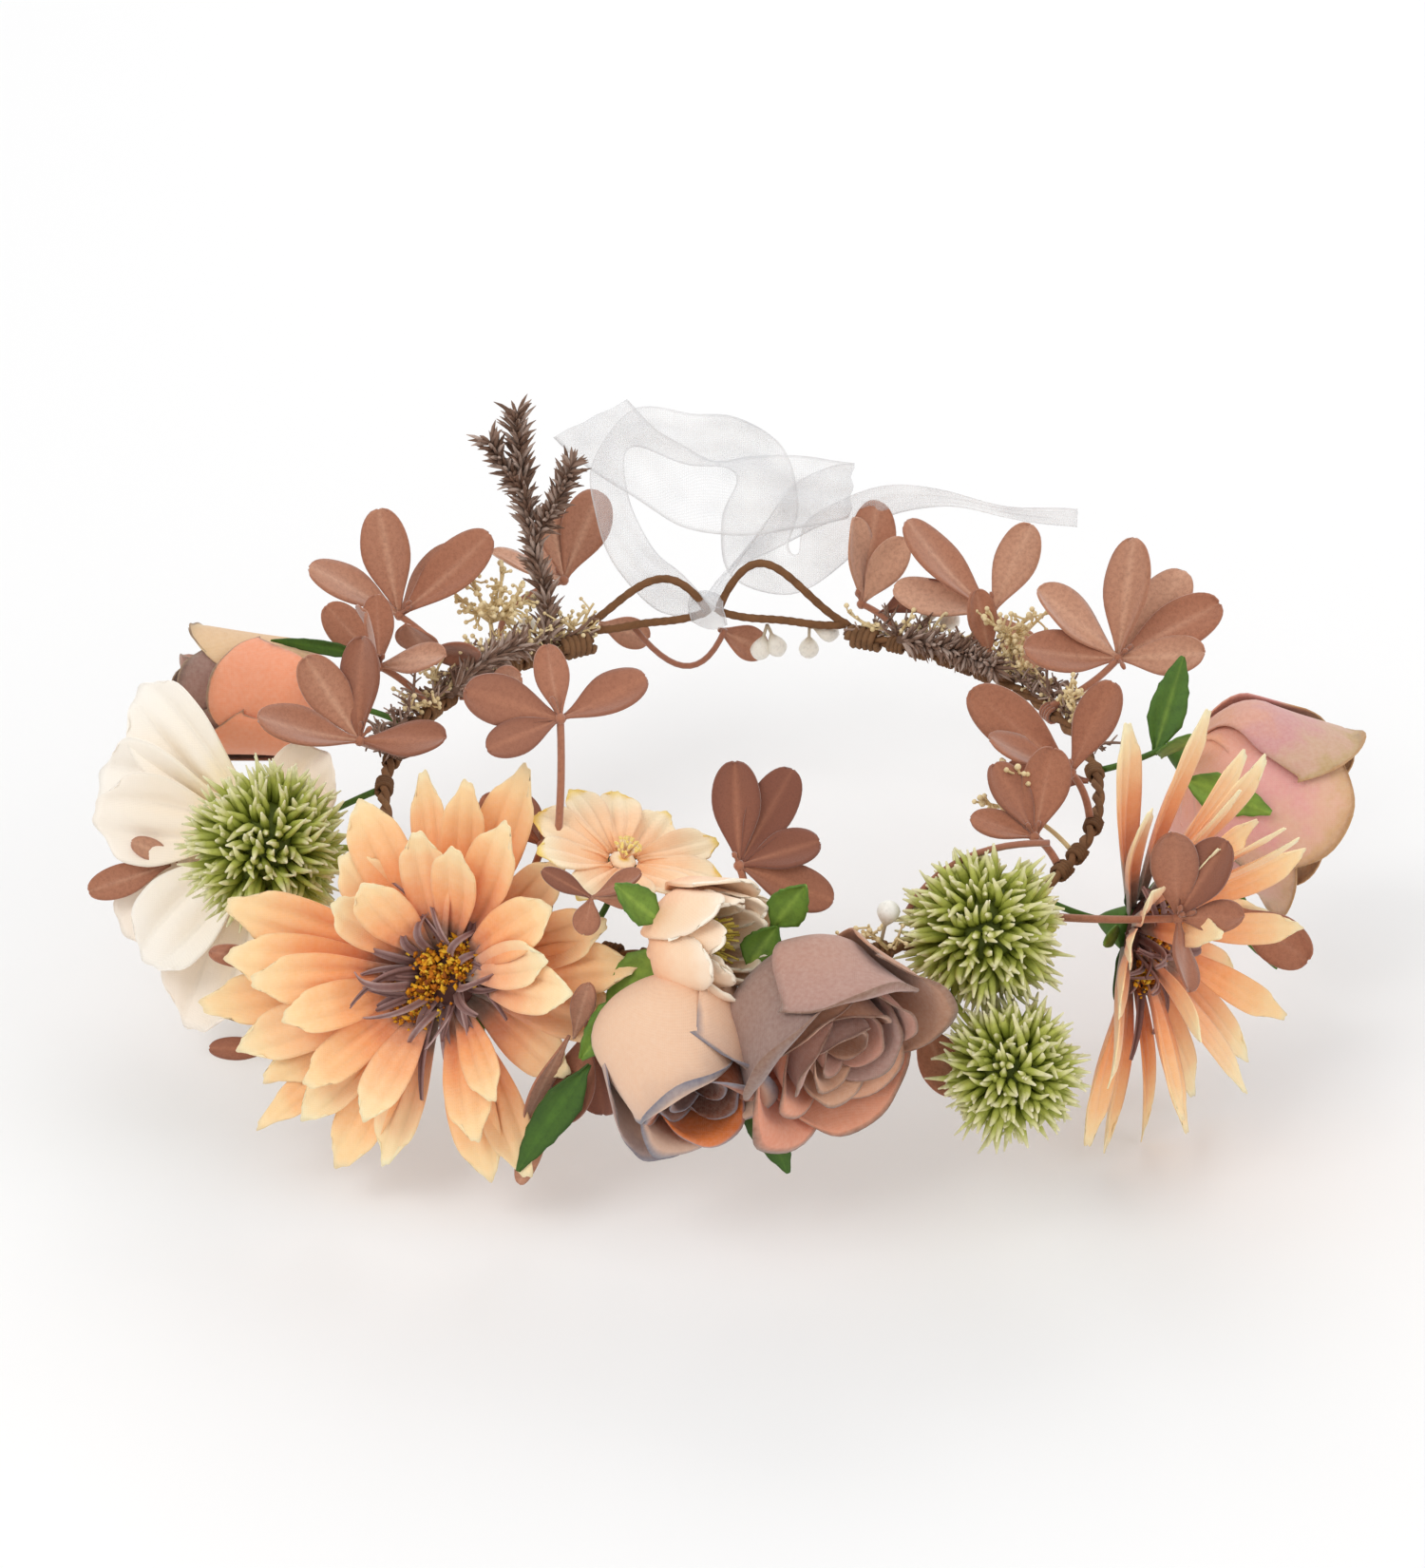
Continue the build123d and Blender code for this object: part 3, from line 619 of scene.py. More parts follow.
left_daisy = Plane((-74, -85, -9), (-0.25, -0.85, 0.45))
right_daisy = Plane((99, -63, -8), (0.85, -0.5, 0.0))
make_daisy_petals("left_daisy", left_daisy, {
    "outer_petals": [
        (72, 52, 17, 16, 0.0), (104, 45, 11, 12, 0.2), (86, 46, 13, 22, 0.8), (120, 43, 17, 20, 1.0),
        (134, 34, 16, 26, 1.6), (171, 52, 17, 10, 0.2), (181, 49, 17, 14, 1.2), (195, 58, 16, 6, 0.0),
        (207, 50, 16, 8, 0.9), (216, 48, 15, 6, 0.3), (224, 56, 11, 3, 0.0), (232, 45, 14, 8, 1.2),
        (247, 50, 15, 6, 0.2), (261, 44, 14, 10, 1.0), (289, 46, 15, 6, 0.2), (302, 48, 15, 10, 1.1),
        (331, 35, 16, 8, 0.2), (354, 44, 17, 12, 0.9), (10, 46, 16, 14, 0.3), (26, 42, 16, 18, 1.0),
        (47, 40, 14, 16, 0.1)],
    "inner_petals": [
        (64, 47, 16, 37, 2.6), (98, 37, 15, 41, 3.0), (78, 39, 14, 45, 3.4), (128, 30, 15, 47, 3.6),
        (148, 29, 15, 39, 2.8), (190, 42, 15, 27, 2.6), (202, 36, 14, 31, 3.2), (228, 38, 13, 23, 2.6),
        (253, 36, 13, 25, 2.8), (295, 39, 14, 25, 2.6), (308, 34, 12, 31, 3.2), (2, 38, 15, 31, 2.8),
        (36, 37, 16, 35, 3.0), (18, 33, 14, 41, 3.6)],
}, 11)
make_daisy_petals("right_daisy", right_daisy, {
    "outer_petals": [
        (96, 54, 14, 2, 0.0), (80, 57, 12, 16, 0.4), (64, 50, 12, 30, 0.8), (114, 46, 12, 14, 0.6),
        (134, 42, 11, 26, 1.0), (158, 38, 11, 32, 0.6), (182, 36, 12, 30, 1.2), (208, 42, 12, 24, 0.5),
        (232, 50, 12, 14, 0.9), (252, 52, 12, 4, 0.2), (268, 53, 12, 10, 0.8), (284, 51, 12, 20, 0.4),
        (300, 50, 11, 30, 1.0), (322, 46, 11, 20, 0.4), (346, 44, 11, 24, 0.8), (14, 44, 12, 20, 0.3),
        (40, 48, 12, 18, 0.7)],
    "inner_petals": [
        (88, 46, 11, 34, 2.0), (74, 44, 11, 50, 2.6), (106, 40, 11, 40, 2.2), (140, 38, 10, 52, 2.8),
        (196, 38, 10, 52, 2.4), (238, 44, 10, 40, 2.2), (262, 48, 11, 30, 2.6), (278, 46, 10, 44, 2.2),
        (310, 42, 10, 54, 2.8), (350, 40, 10, 50, 2.2), (28, 42, 11, 46, 2.6), (56, 42, 11, 56, 3.0)],
}, 37)
make_daisy_disc("left_daisy", left_daisy.lifted(2.5), 5)
make_daisy_disc("right_daisy", right_daisy.lifted(2.5), 6)
make_calyx("left_daisy", left_daisy, 6.5, 9, 224, 8)
make_calyx("right_daisy", right_daisy, 6.5, 9, 322, 8)

small_daisy = Plane((-30, -81, 21), (0.25, -0.2, 0.95))
petals = Shape(3)
rng = petals.rng
for k in range(10):
    add_long_petal(petals, small_daisy.lifted(0.5 * (k % 2)), 36 * k + 10, 2.5, rng.uniform(18, 23), 11,
                   rng.uniform(8, 28), 10, rng.uniform(-15, 15))
for _ in range(40):
    aside = rng.uniform(-0.7, 0.7, 2)
    way = unit(small_daisy.z + aside[0] * small_daisy.x + aside[1] * small_daisy.y)
    root = small_daisy.at(0, 0, 1.0)
    petals.tube(bow(root, root + way * 6, (0, 0, 0.2), 4), vec(0.3, 0.25, 0.25, 0.45), 4)
petals.ball(small_daisy.at(0, 0, 0.5), 3.6, 0.35, small_daisy.z)
piece("small_daisy_petals", petals, small_cloth)
make_calyx("small_daisy", small_daisy.lifted(-1.5), 4.5, 7, 245, 6, reach=10)

# ---- white flower

white_flower = Plane((-125, -9, -11), (-0.4, -0.78, 0.42))
for node, table in {
        "outer_petals": [(146, 50, 26, 12, 0), (176, 50, 31, 8, 0.7), (224, 44, 29, 10, 0.2),
                         (262, 50, 29, 12, 0.9), (312, 36, 24, 10, 0.1), (58, 26, 22, 14, 0.5)],
        "inner_petals": [(184, 42, 25, 22, 2), (242, 42, 26, 26, 1.6), (22, 24, 20, 40, 2)]}.items():
    petals = Shape(21 + len(table))
    for turn, length, width, lift, level in table:
        rng = petals.rng
        add_long_petal(petals, white_flower.lifted(level), turn, 3, length, width, lift, rng.uniform(-6, 20),
                       rng.uniform(-10, 10), rows=20, cols=19, fold=0.42, waist=0.3, blunt=0.62)
    piece(f"white_flower_{node}", petals, white_cloth)
make_calyx("white_flower", white_flower, 6, 8, 181, 10)

# ---- roses


def make_rose(name, plane, cloth, rounds, seed, angle, sepal_reach=16, clasp=55, heart=None, **form):
    """rounds: node to its layers (count, first, wrap, radius, height, lean, lip, curl, tints).

    first, wrap and curl are degrees; heart is the cloth of the inner petals, where it differs.
    """
    for node, layers in rounds.items():
        shape = Shape(seed + len(node))
        rng = shape.rng
        for count, first, wrap, radius, height, lean, lip, curl, tints in layers:
            for k in range(count):
                add_rose_petal(
                    shape, plane, first + 360 * k / count + rng.uniform(-6, 6), wrap, radius,
                    height * rng.uniform(0.95, 1.05), lean + rng.uniform(-0.3, 0.3), lip,
                    curl * rng.uniform(0.75, 1.2), tints[k % len(tints)] + rng.uniform(-0.05, 0.05),
                    foot=min(2.5, 0.5 * radius), **form)
        dyed = heart if heart and node == "inner_petals" else cloth
        piece(f"{name}_{node}", shape, dyed)
    make_calyx(name, plane, 5.5, 7, angle, clasp, sepal_reach)


front_rosebud = Plane((-21, -101, -5), (0.3, -0.88, -0.38))
make_rose("front_rosebud", front_rosebud, bud_cloth, {
    "outer_petals": [(3, 100, 185, 18.5, 36, -4.5, 2.4, 140, [0.42, 0.5, 0.45]),
                     (1, 215, 105, 19.5, 33, 2, 2.5, 60, [0.15])],
    "inner_petals": [(3, 20, 165, 14.5, 36, -3, 2, 120, [0.95, 0.9, 0.8]),
                     (3, 65, 175, 10, 33, -1, 1.8, 110, [0.98, 0.3, 0.95]),
                     (2, 0, 250, 6.5, 30, -0.5, 1.6, 100, [0.98, 0.2]),
                     (1, 90, 330, 3.5, 28, 0, 1.2, 90, [1])],
}, 51, 256, heart=bud_heart_cloth, rounding=0.3, sweep=40)
front_rose = Plane((10, -103, 3), (0.5, -0.8, -0.33))
make_rose("front_rose", front_rose, rose_cloth, {
    "outer_petals": [(5, 135, 120, 19.5, 30, 5, 3.6, 115, [0.05, 0.5, 0.55, 0.9, 0.2])],
    "inner_petals": [(4, 195, 130, 15.2, 29.5, 2.2, 2.2, 100, [0.6, 0.72, 0.3, 0.85]),
                     (4, 150, 150, 12, 30, 1.6, 2, 100, [0.25, 0.7, 0.2, 0.8]),
                     (3, 100, 190, 8.8, 30, 1, 1.8, 90, [0.25, 0.78, 0.3]),
                     (2, 0, 250, 5.8, 28, 0.5, 1.4, 80, [0.88, 0.3]),
                     (1, 90, 330, 3.2, 25, 0, 0.8, 60, [1])],
}, 61, 277, rounding=0.28, sweep=22)
left_rose = Plane((-114, 36, 6), (-1, 0.05, 0.1))  # its outer petals are all of different heights
make_rose("left_rose", left_rose, torn_cloth, {
    "outer_petals": [(1, 14, 120, 15.5, 28, 2.5, 2.5, 70, [0.6]), (1, 86, 110, 16, 36, 1, 2.5, 60, [0.95]),
                     (1, 158, 115, 15.5, 31, 2, 2.5, 70, [0.9]), (1, 230, 115, 15.5, 33, 2, 2.5, 70, [0.1]),
                     (1, 302, 115, 15.5, 29, 2, 2.5, 70, [0.62])],
    "inner_petals": [(4, 20, 130, 13, 37, 1.5, 2, 80, [0.12, 0.9, 0.1, 0.15]),
                     (3, 10, 190, 9, 38, 0, 1.6, 70, [0.1, 0.3, 0]),
                     (2, 60, 270, 5, 36, 0, 1, 60, [0.05, 0.2])],
}, 71, 160, rounding=0.3, sweep=25)
right_rose = Plane((120, 8, 4), (0.9, -0.1, -0.42))
make_rose("right_rose", right_rose, pink_cloth, {
    "outer_petals": [(5, 205, 125, 22, 36, 3, 3.5, 80, [0.05, 0.2, 0.75, 0.85, 0.3])],
    "inner_petals": [(4, 160, 140, 18, 36, 1.5, 3, 90, [0.3, 0.75, 0.8, 0.5]),
                     (4, 120, 160, 13, 34, 0, 2.4, 90, [0.8, 0.85, 0.75, 0.9]),
                     (3, 60, 220, 7.5, 32, 0, 1.5, 80, [0.9, 1.0, 0.95])],
}, 81, 4, sepal_reach=22, rounding=0.32, sweep=18)

cream_bud = Plane((-18, -98, 10), (0.74, -0.58, 0.26))
make_rose("cream_bud", cream_bud, cream_cloth, {
    "outer_petals": [(6, 0, 78, 14.5, 24, 0, 0.1, 0, [0.3, 0.6, 0.8])],
    "inner_petals": [(6, 30, 72, 12.5, 25, -2, 0.1, 0, [0.3, 0.8]),
                     (5, 0, 80, 10, 23, -1, 0.1, 0, [0.5, 0.9])],
}, 91, 263, sepal_reach=12, clasp=48, rounding=0.5, cup=1.6, thickness=0.8)
tuft = Shape(95)
rng = tuft.rng
for _ in range(90):
    spin, tilt = rng.uniform(0, 2 * pi), rng.uniform(0, 0.55)
    way = unit(cream_bud.z + tilt * cream_bud.spoke(spin))
    root = cream_bud.at(0, 0, 2.0)
    thread = bow(root, root + way * rng.uniform(13, 18), (0, 0, 0.3), 4)
    tuft.tube(thread, vec(0.25, 0.22, 0.2, 0.35), 4, rng.uniform(0.55, 1.0))
piece("cream_bud_stamens", tuft, bud_stamens, node="none")

# ---- thistles


def make_thistle(name, centre, core, reach, angle, spines, seed):
    """A ball packed with pale-tipped spines."""
    shape = Shape(seed)
    rng = shape.rng
    golden_turn = pi * (3 - sqrt(5))
    centre = vec(*centre)
    shape.ball(centre, core * 0.82, rings=10, sides=16)
    shape.tones[-1] = shape.tones[-1] * vec(0.02, 1, 1, 1)  # the core is as dark as the spines' feet
    for spine in range(spines):
        height = 1 - 2 * (spine + 0.5) / spines
        tilt, turn = acos(height), spine * golden_turn
        way = unit(vec(sin(tilt) * cos(turn), sin(tilt) * sin(turn), height) + rng.normal(0, 0.09, 3))
        root = centre + way * core * 0.7
        length = (reach - core * 0.7) * rng.uniform(0.7, 1.16)
        drift = rng.normal(0, 1.4, 3)
        shape.tube(bow(root, root + way * length + drift, -0.6 * drift, 5),
                   vec(0.6, 1.0, 1.1, 0.8, 0.25) * rng.uniform(0.75, 1.15), 5, rng.uniform(0, 1))
    add_stem(shape, taped(angle, centre), centre, tint=0.3)
    piece(name, shape, thistle_spines)


THISTLES = {"left_thistle": ((-122, -46, 6), 15, 21.5, 203, 620),
            "upper_right_thistle": ((60, -90, 7), 14, 20.5, 303, 560),
            "lower_right_thistle": ((66, -113, -20), 12, 18, 297, 470)}
for number, (name, form) in enumerate(THISTLES.items()):
    make_thistle(name, *form, 101 + number)

# ---- leaf sprigs


def swinging_foot(shape, angle):
    """Winds a sleeve round the band for a stem that swings, and gives the place of its foot."""
    add_coil(shape, angle, radius=2.2, strand=0.55, turns=3.5, length=4.4, tint=0.3)
    return on_ring(angle, up=2.1)


def make_leaf_sprig(name, angle, hub, tips, seed, body="crown", sag=2.0):
    """A copper sprig: its stem, the whorl of leaves at its hub, and a few small buds."""
    shape = Shape(seed)
    rng = shape.rng
    hub = vec(*hub)
    tips = [vec(*tip) for tip in tips]
    foot = taped(angle, hub) if body == "crown" else swinging_foot(shape, angle)
    add_stem(shape, foot, hub, 0.95, 0.45, sag=sag)
    heart = unit(sum(tips) / len(tips) - hub)
    shape.ball(hub, 1.5)
    for tip in tips:
        tip = tip + 0.1 * (tip - hub)
        width = min(max(np.linalg.norm(tip - hub) * rng.uniform(0.44, 0.52), 8), 14)
        tint = min(max(0.52 + hub[1] / 380 + rng.uniform(-0.25, 0.25), 0), 1)  # paler at the back
        add_leaf(shape, hub, tip, 0.6 * heart + SIGHT + rng.normal(0, 0.3, 3), width,
                 bend=rng.uniform(-0.05, 0.24), tint=tint)
    for _ in range(3):
        end = hub + unit(heart + rng.normal(0, 0.5, 3)) * rng.uniform(3.5, 6)
        shape.tube(bow(hub, end, (0, 0, 0.3), 5), vec(0.5, 0.45, 0.45, 0.8, 0.5), 6, 0.35)
    piece(name, shape, copper_suede, body)


TAPED_SPRIGS = {
    "left_side_leaf_sprig": (171, (-101, -2, 14), [
        (-124, -12, 25), (-100, 10, 36), (-80, -6, 17), (-114, 7, 32)]),
    "left_upper_leaf_sprig": (153, (-99, 46, 12), [
        (-101, 34, 33), (-82, 40, 18), (-112, 52, 26), (-100, 58, 26)]),
    "front_left_leaf_sprig": (232, (-50, -74, 22), [
        (-64, -66, 30), (-42, -60, 22), (-57, -60, 27)]),
    "back_right_leaf_sprig": (52, (71, 82, 11), [
        (49, 92, 32), (81, 90, 32), (46, 86, 16), (84, 76, -2)]),
    "back_leaf_sprig": (62, (35, 100, 5), [
        (33, 108, 26), (46, 106, 21), (39, 114, 28)]),
    "behind_ribbon_leaf_sprig": (132.5, (-50, 101, 12), [
        (-41, 117, 30), (-54, 112, 29), (-69, 106, 18), (-59, 117, 14)]),
    "inner_right_leaf_sprig": (330, (75, -46, 9), [
        (66, -34, 22), (80, -30, 24), (60, -46, 14)]),
    "right_leaf_sprig": (346, (86, -20, 14), [
        (62, -16, 34), (66, -26, 26), (96, -10, 33)]),
    "front_right_leaf_sprig": (314, (108, -88, 9), [
        (106, -86, 30), (118, -86, 28), (122, -94, 13), (110, -100, -3)]),
    "front_lower_leaf_sprig": (250, (-38, -102, -14), [
        (-44, -110, -34), (-35, -104, -36)]),
}
STEM_SAGS = {"behind_ribbon_leaf_sprig": -9.0}  # bent clear of the heather spike's swing
SWINGING_SPRIGS = {
    "tall_leaf_sprig": ("tall_sprig_body", 238.5, (-45, -75, 58), [
        (-26, -68, 65), (-66, -78, 67), (-61, -84, 55), (-48, -66, 72)]),
    "centre_leaf_sprig": ("centre_sprig_body", 269.5, (-1, -88, 24), [
        (-2, -76, 44), (11, -76, 42), (17, -84, 28), (20, -90, 16)]),
    "right_back_leaf_sprig": ("right_back_sprig_body", 26, (104, 51, 12), [
        (108, 62, 40), (84, 58, 28), (80, 44, 18), (130, 62, 22), (122, 72, 26), (125, 46, 16)]),
    "left_back_leaf_sprig": ("left_back_sprig_body", 143.5, (-95, 72, 15), [
        (-100, 82, 40), (-72, 80, 34), (-117, 68, 30), (-80, 92, 25)]),
}
for number, (name, (angle, hub, tips)) in enumerate(TAPED_SPRIGS.items()):
    make_leaf_sprig(name, angle, hub, tips, 200 + number, sag=STEM_SAGS.get(name, 2.0))
for number, (name, (body, angle, hub, tips)) in enumerate(SWINGING_SPRIGS.items()):
    make_leaf_sprig(name, angle, hub, tips, 300 + number, body)

# ---- heather, fillers, berries, leaves


def add_heather(shape, path, rounds, length=7.5):
    """A stem with needles all the way up, bunched in little shoots."""
    rng = shape.rng
    shape.tube(path, np.linspace(1.1, 0.5, len(path)), 7, 0.15)
    ahead = np.gradient(path, axis=0)
    where = np.linspace(0, 1, len(path))
    for stop in np.linspace(0.03, 1, rounds):
        middle = vec(*[np.interp(stop, where, path[:, k]) for k in range(3)])
        way = unit([np.interp(stop, where, ahead[:, k]) for k in range(3)])
        across = unit(np.cross(way, vec(0.3, 0.5, 0.8)))
        other = np.cross(way, across)
        for _ in range(8):
            spin = rng.uniform(0, 2 * pi)
            outward = cos(spin) * across + sin(spin) * other
            needle = unit(outward * rng.uniform(0.5, 1.0) + way * rng.uniform(0.5, 1.2))
            tip = middle + needle * length * rng.uniform(0.6, 1.1)
            shape.tube(bow(middle, tip, way * 0.5, 4), vec(0.35, 0.6, 0.5, 0.08), 4, rng.uniform(0.2, 1.0))


crest = Shape(401)
knee, top = (-54, 84, 12), (-62, 93, 66)
foot = swinging_foot(crest, 125)
stalk = np.concatenate([bow(foot, knee, (0, 0, 0), 4)[:-1], bow(knee, top, (-1.5, 1, 0), 14)])
add_heather(crest, stalk, 46)
side_shoots = ((-57, 88, 32), (-47, 83, 55), 20), ((-59, 90, 44), (-69, 88, 60), 13)
for start, end, rounds in side_shoots:
    add_heather(crest, bow(start, end, (0, 0, -1.5), 10), rounds, 7)
piece("heather_spike", crest, heather_needles, "heather_spike_body")
for name, angle, start, end, rounds, seed in (
        ("right_heather_sprig", 48, on_ring(60, -6, 5), on_ring(38, -7, 8), 44, 402),
        ("left_heather_sprig", 148.5, on_ring(151, -5, 5), on_ring(134, -7, 10), 36, 403)):
    sprig = Shape(seed)
    add_stem(sprig, taped(angle, start), start, tint=0.2)
    add_heather(sprig, bow(start, end, unit((start + end) * vec(1, 1, 0)) * 3, 10), rounds)
    piece(name, sprig, heather_needles)


def make_filler(name, angle, top, beads, seed):
    """A coral-like sprig: forked twigs that end in small beads. Each bead is placed from the top."""
    shape = Shape(seed)
    rng = shape.rng
    top = vec(*top)
    add_stem(shape, taped(angle, top), top, 0.6)
    for bead in beads:
        tip = top + vec(*bead)
        twig = bow(top, tip, rng.normal(0, 0.8, 3), 8)
        shape.tube(twig, np.linspace(0.55, 0.4, 8), 5, 0.4)
        shape.ball(tip, 0.95, tint=0.9)
        for fork in range(12):
            root = twig[2 + fork % 5]
            end = root + unit(unit(tip - top) + rng.normal(0, 0.8, 3)) * rng.uniform(2.5, 5)
            shape.tube(bow(root, end, rng.normal(0, 0.3, 3), 4), 0.35, 4, 0.5)
            shape.ball(end, rng.uniform(0.55, 0.85), tint=rng.uniform(0.5, 1))
    piece(name, shape, cream_plastic)


make_filler("left_cream_filler", 137.5, (-70, 78, 10), [
    (-6, 4, 14), (3, 5, 16), (9, 3, 10), (-7, 1, 3), (2, 8, 8), (-12, 4, 9), (7, -5, 5), (-2, -6, 8),
    (12, 8, 4)], 411)
make_filler("right_cream_filler", 44, (76, 66, 8), [
    (4, -4, 12), (-4, -6, 10), (9, -6, 6), (2, -9, 4), (-8, 3, 8), (12, 3, 12)], 412)
make_filler("inner_cream_filler", 336, (74, -32, 8), [(-9, 2, 12), (-12, -5, 6), (-3, -2, 15)], 413)


def add_berry(shape, foot, tip):
    """A drop-shaped berry on a short stalk."""
    radius = 2.9
    way = unit(tip - foot)
    shape.tube(bow(foot, tip - way * radius, (0, 0, 0.3), 5), 0.5, 6)
    shape.tones[-1] = shape.tones[-1] * vec(0.1, 1, 1, 1)  # the stalk is darker than the berry
    t = np.linspace(0.02, 1, 10)
    drop = tip + np.outer((t - 0.66) * 3.0 * radius, way)
    shape.tube(drop, radius * np.sin(pi * t ** 1.5) ** 0.8 + 0.05, 12, 0.8)


def add_band_twigs(shape, first, last, amount, reach, beads):
    """Short twigs that lie along the band and stand off it, ending in beads or bare."""
    rng = shape.rng
    for k in range(amount):
        angle = first + (last - first) * (k + rng.uniform(-0.4, 0.4)) / amount
        root = on_ring(angle, rng.uniform(1.5, 3), rng.uniform(0, 3))
        tangent = unit(on_ring(angle + 90)) * rng.choice([-1, 1])
        way = unit(tangent * rng.uniform(0.4, 1.4) + unit(on_ring(angle)) * rng.uniform(-0.7, 0.9)
                   + UP * rng.uniform(0.1, 1.0))
        tip = root + way * reach * rng.uniform(0.6, 1.2)
        twig = bow(root, tip, rng.normal(0, 0.8, 3), 7)
        shape.tube(twig, np.linspace(0.6, 0.35, 7), 5, rng.uniform(0.2, 0.7))
        for fork in twig[1:6]:
            end = fork + unit(way + rng.normal(0, 0.7, 3)) * rng.uniform(2, 4.5)
            spur = bow(fork, end, rng.normal(0, 0.2, 3), 4)
            shape.tube(spur, vec(0.36, 0.34, 0.3, 0.24), 4, rng.uniform(0.3, 1))
            if beads:
                shape.ball(end, rng.uniform(0.5, 0.8), tint=rng.uniform(0.5, 1))


BAND_TWIGS = {  # from which angle to which, how many twigs, and how long
    "left_band_filler": (117, 155, 46, 11), "right_band_filler": (18, 66, 34, 11),
    "front_band_filler": (284, 296, 5, 11),
    "left_band_heather": (120, 172, 64, 10), "right_band_heather": (12, 68, 76, 10)}
for number, (name, form) in enumerate(BAND_TWIGS.items()):
    twigs = Shape(414 + number)
    beaded = name.endswith("filler")
    add_band_twigs(twigs, *form, beaded)
    if beaded:
        piece(name, twigs, cream_plastic, node="none")
    else:
        piece(name, twigs, heather_needles, node="none")

berries = Shape(421)
for angle, tip in ((57.5, (60, 90, 5)), (291, (36, -91, 13)), (128.5, (-67, 88, -3)),
                   (57.5, (54, 91, 8)), (128.5, (-60, 92, 2))):
    add_berry(berries, taped(angle, vec(*tip)), vec(*tip))
for foot, tip in (((20, 94.5, 0.4), (20, 97, -8)), ((8, 98, -0.5), (6, 98, -9)),
                  ((8, 98, -0.5), (11, 98, -8)), ((20, 94.5, 0.4), (26, 96, -2))):
    add_berry(berries, vec(*foot), vec(*tip))
piece("white_berries", berries, berry_gloss)

greens = Shape(431)
for root, tip, normal in (
        ((7, -103, 15), (15, -107, 29), (0, -1, 0.5)), ((111, 11, 3), (119, 26, 25), (0, -1, 0.4)),
        ((112, 0, 8), (118, -14, 22), (0.2, -0.5, 1))):
    add_leaf(greens, root, tip, normal, 10, widest=0.4, serrate=0.06, point=0.9)
piece("green_leaves", greens, green_cloth)
loose = Shape(432)
for root, tip, width in (
        ((-38, -110, -20), (-56, -118, -46), 10), ((1, -118, -20), (11, -122, -44), 10),
        ((-20, -104, 10), (-34, -103, -9), 11), ((-20, -109, 20), (-31, -114, 33), 9),
        ((-28, -110, 0), (-40, -114, -16), 9), ((1, -108, 6), (8, -106, 17), 10),
        ((118, -14, -8), (143, -22, -44), 9), ((116, -12, 8), (139, -20, 2), 11),
        ((-101, 40, 18), (-127, 34, 26), 4)):
    add_leaf(loose, root, tip, SIGHT + loose.rng.normal(0, 0.3, 3), width, bend=0.2, widest=0.38,
             serrate=0.06, point=1.0)
piece("loose_green_leaves", loose, green_cloth, node="none")
loose = Shape(433)
for root, tip, width in (
        ((-43, -106, -14), (-54, -110, -36), 6), ((-48, -108, -30), (-56, -110, -55), 6),
        ((-42, -104, -16), (-38, -106, 1), 6), ((43, -98, -14), (54, -104, -32), 12),
        ((128, -38, -16), (148, -42, -30), 13), ((-152, -10, -19), (-174, -12, -26), 9),
        ((-150, -10, -18), (-162, -10, -12), 6), ((-118, -80, -34), (-135, -84, -31), 6),
        ((-118, -78, -10), (-134, -80, -5), 6), ((-70, 52, 2), (-60, 44, 10), 9),
        ((-88, 60, 8), (-72, 52, 14), 10), ((-6, 100, -3), (8, 104, -12), 10),
        ((-40, 98, 0), (-26, 104, -8), 9), ((70, 66, 4), (66, 74, 22), 9),
        ((40, 96, 4), (58, 90, 16), 10), ((-84, 60, 6), (-92, 56, 20), 12), ((92, -6, 4), (70, -4, 6), 10),
        ((-37, -104, 24), (-25, -104, 31), 6), ((-37, -104, 24), (-23, -106, 25), 6),
        ((-37, -104, 24), (-39, -108, 16), 7), ((-37, -104, 24), (-49, -103, 31), 5)):
    add_leaf(loose, root, tip, SIGHT + loose.rng.normal(0, 0.3, 3), width)
bare_stems = ((41, -86, 10), (76, -80, 26), (-4, 0, 5)), ((-30, 97, -1), (-4, 98, -2), (2, 0, -12))
for start, end, sag in bare_stems:
    loose.tube(bow(start, end, sag, 14), 0.9, 7, 0.3)
piece("loose_copper_leaves", loose, copper_suede, node="none")

# ---- band, loops and tape

PAPER_TURNS = 38  # of each of its two strands of paper, over a whole circle
band = Shape(441)
angles = np.radians(np.linspace(BAND_END_LEFT, BAND_END_RIGHT + 360, 700))
for strand in (0, 1):
    line = wound_line(angles, 0.8, angles * PAPER_TURNS + pi * strand)
    band.tube(line, 0.95, 8, 0.4 + 0.25 * strand)
piece("band_wire", band, wire_paper)


def make_tie_loop(name, band_end, crown_end, height, peak, seed):
    """A closed eye of paper-wound wire: flat below, arched above, with its highest point at peak."""
    shape = Shape(seed)
    t = np.linspace(0, 1, 46)[:, None]
    line = vec(*band_end) + (vec(*crown_end) - vec(*band_end)) * t
    hump = np.sin(pi * t ** (np.log(0.5) / np.log(peak))) ** 0.85
    upper = line + UP * (height * hump) + vec(0, 1, 0) * np.sin(pi * t)
    lower = line - UP * (0.8 * np.sin(pi * t) + 0.4 * np.sin(3 * pi * t)) - vec(0, 0.8, 0) * np.sin(pi * t)
    path = np.concatenate([upper, lower[::-1][1:-1]])
    shape.tube(path, 1.15 + 0.08 * np.sin(np.arange(len(path)) * 1.9), 9, 0.5, closed=True)
    piece(name, shape, wire_paper)


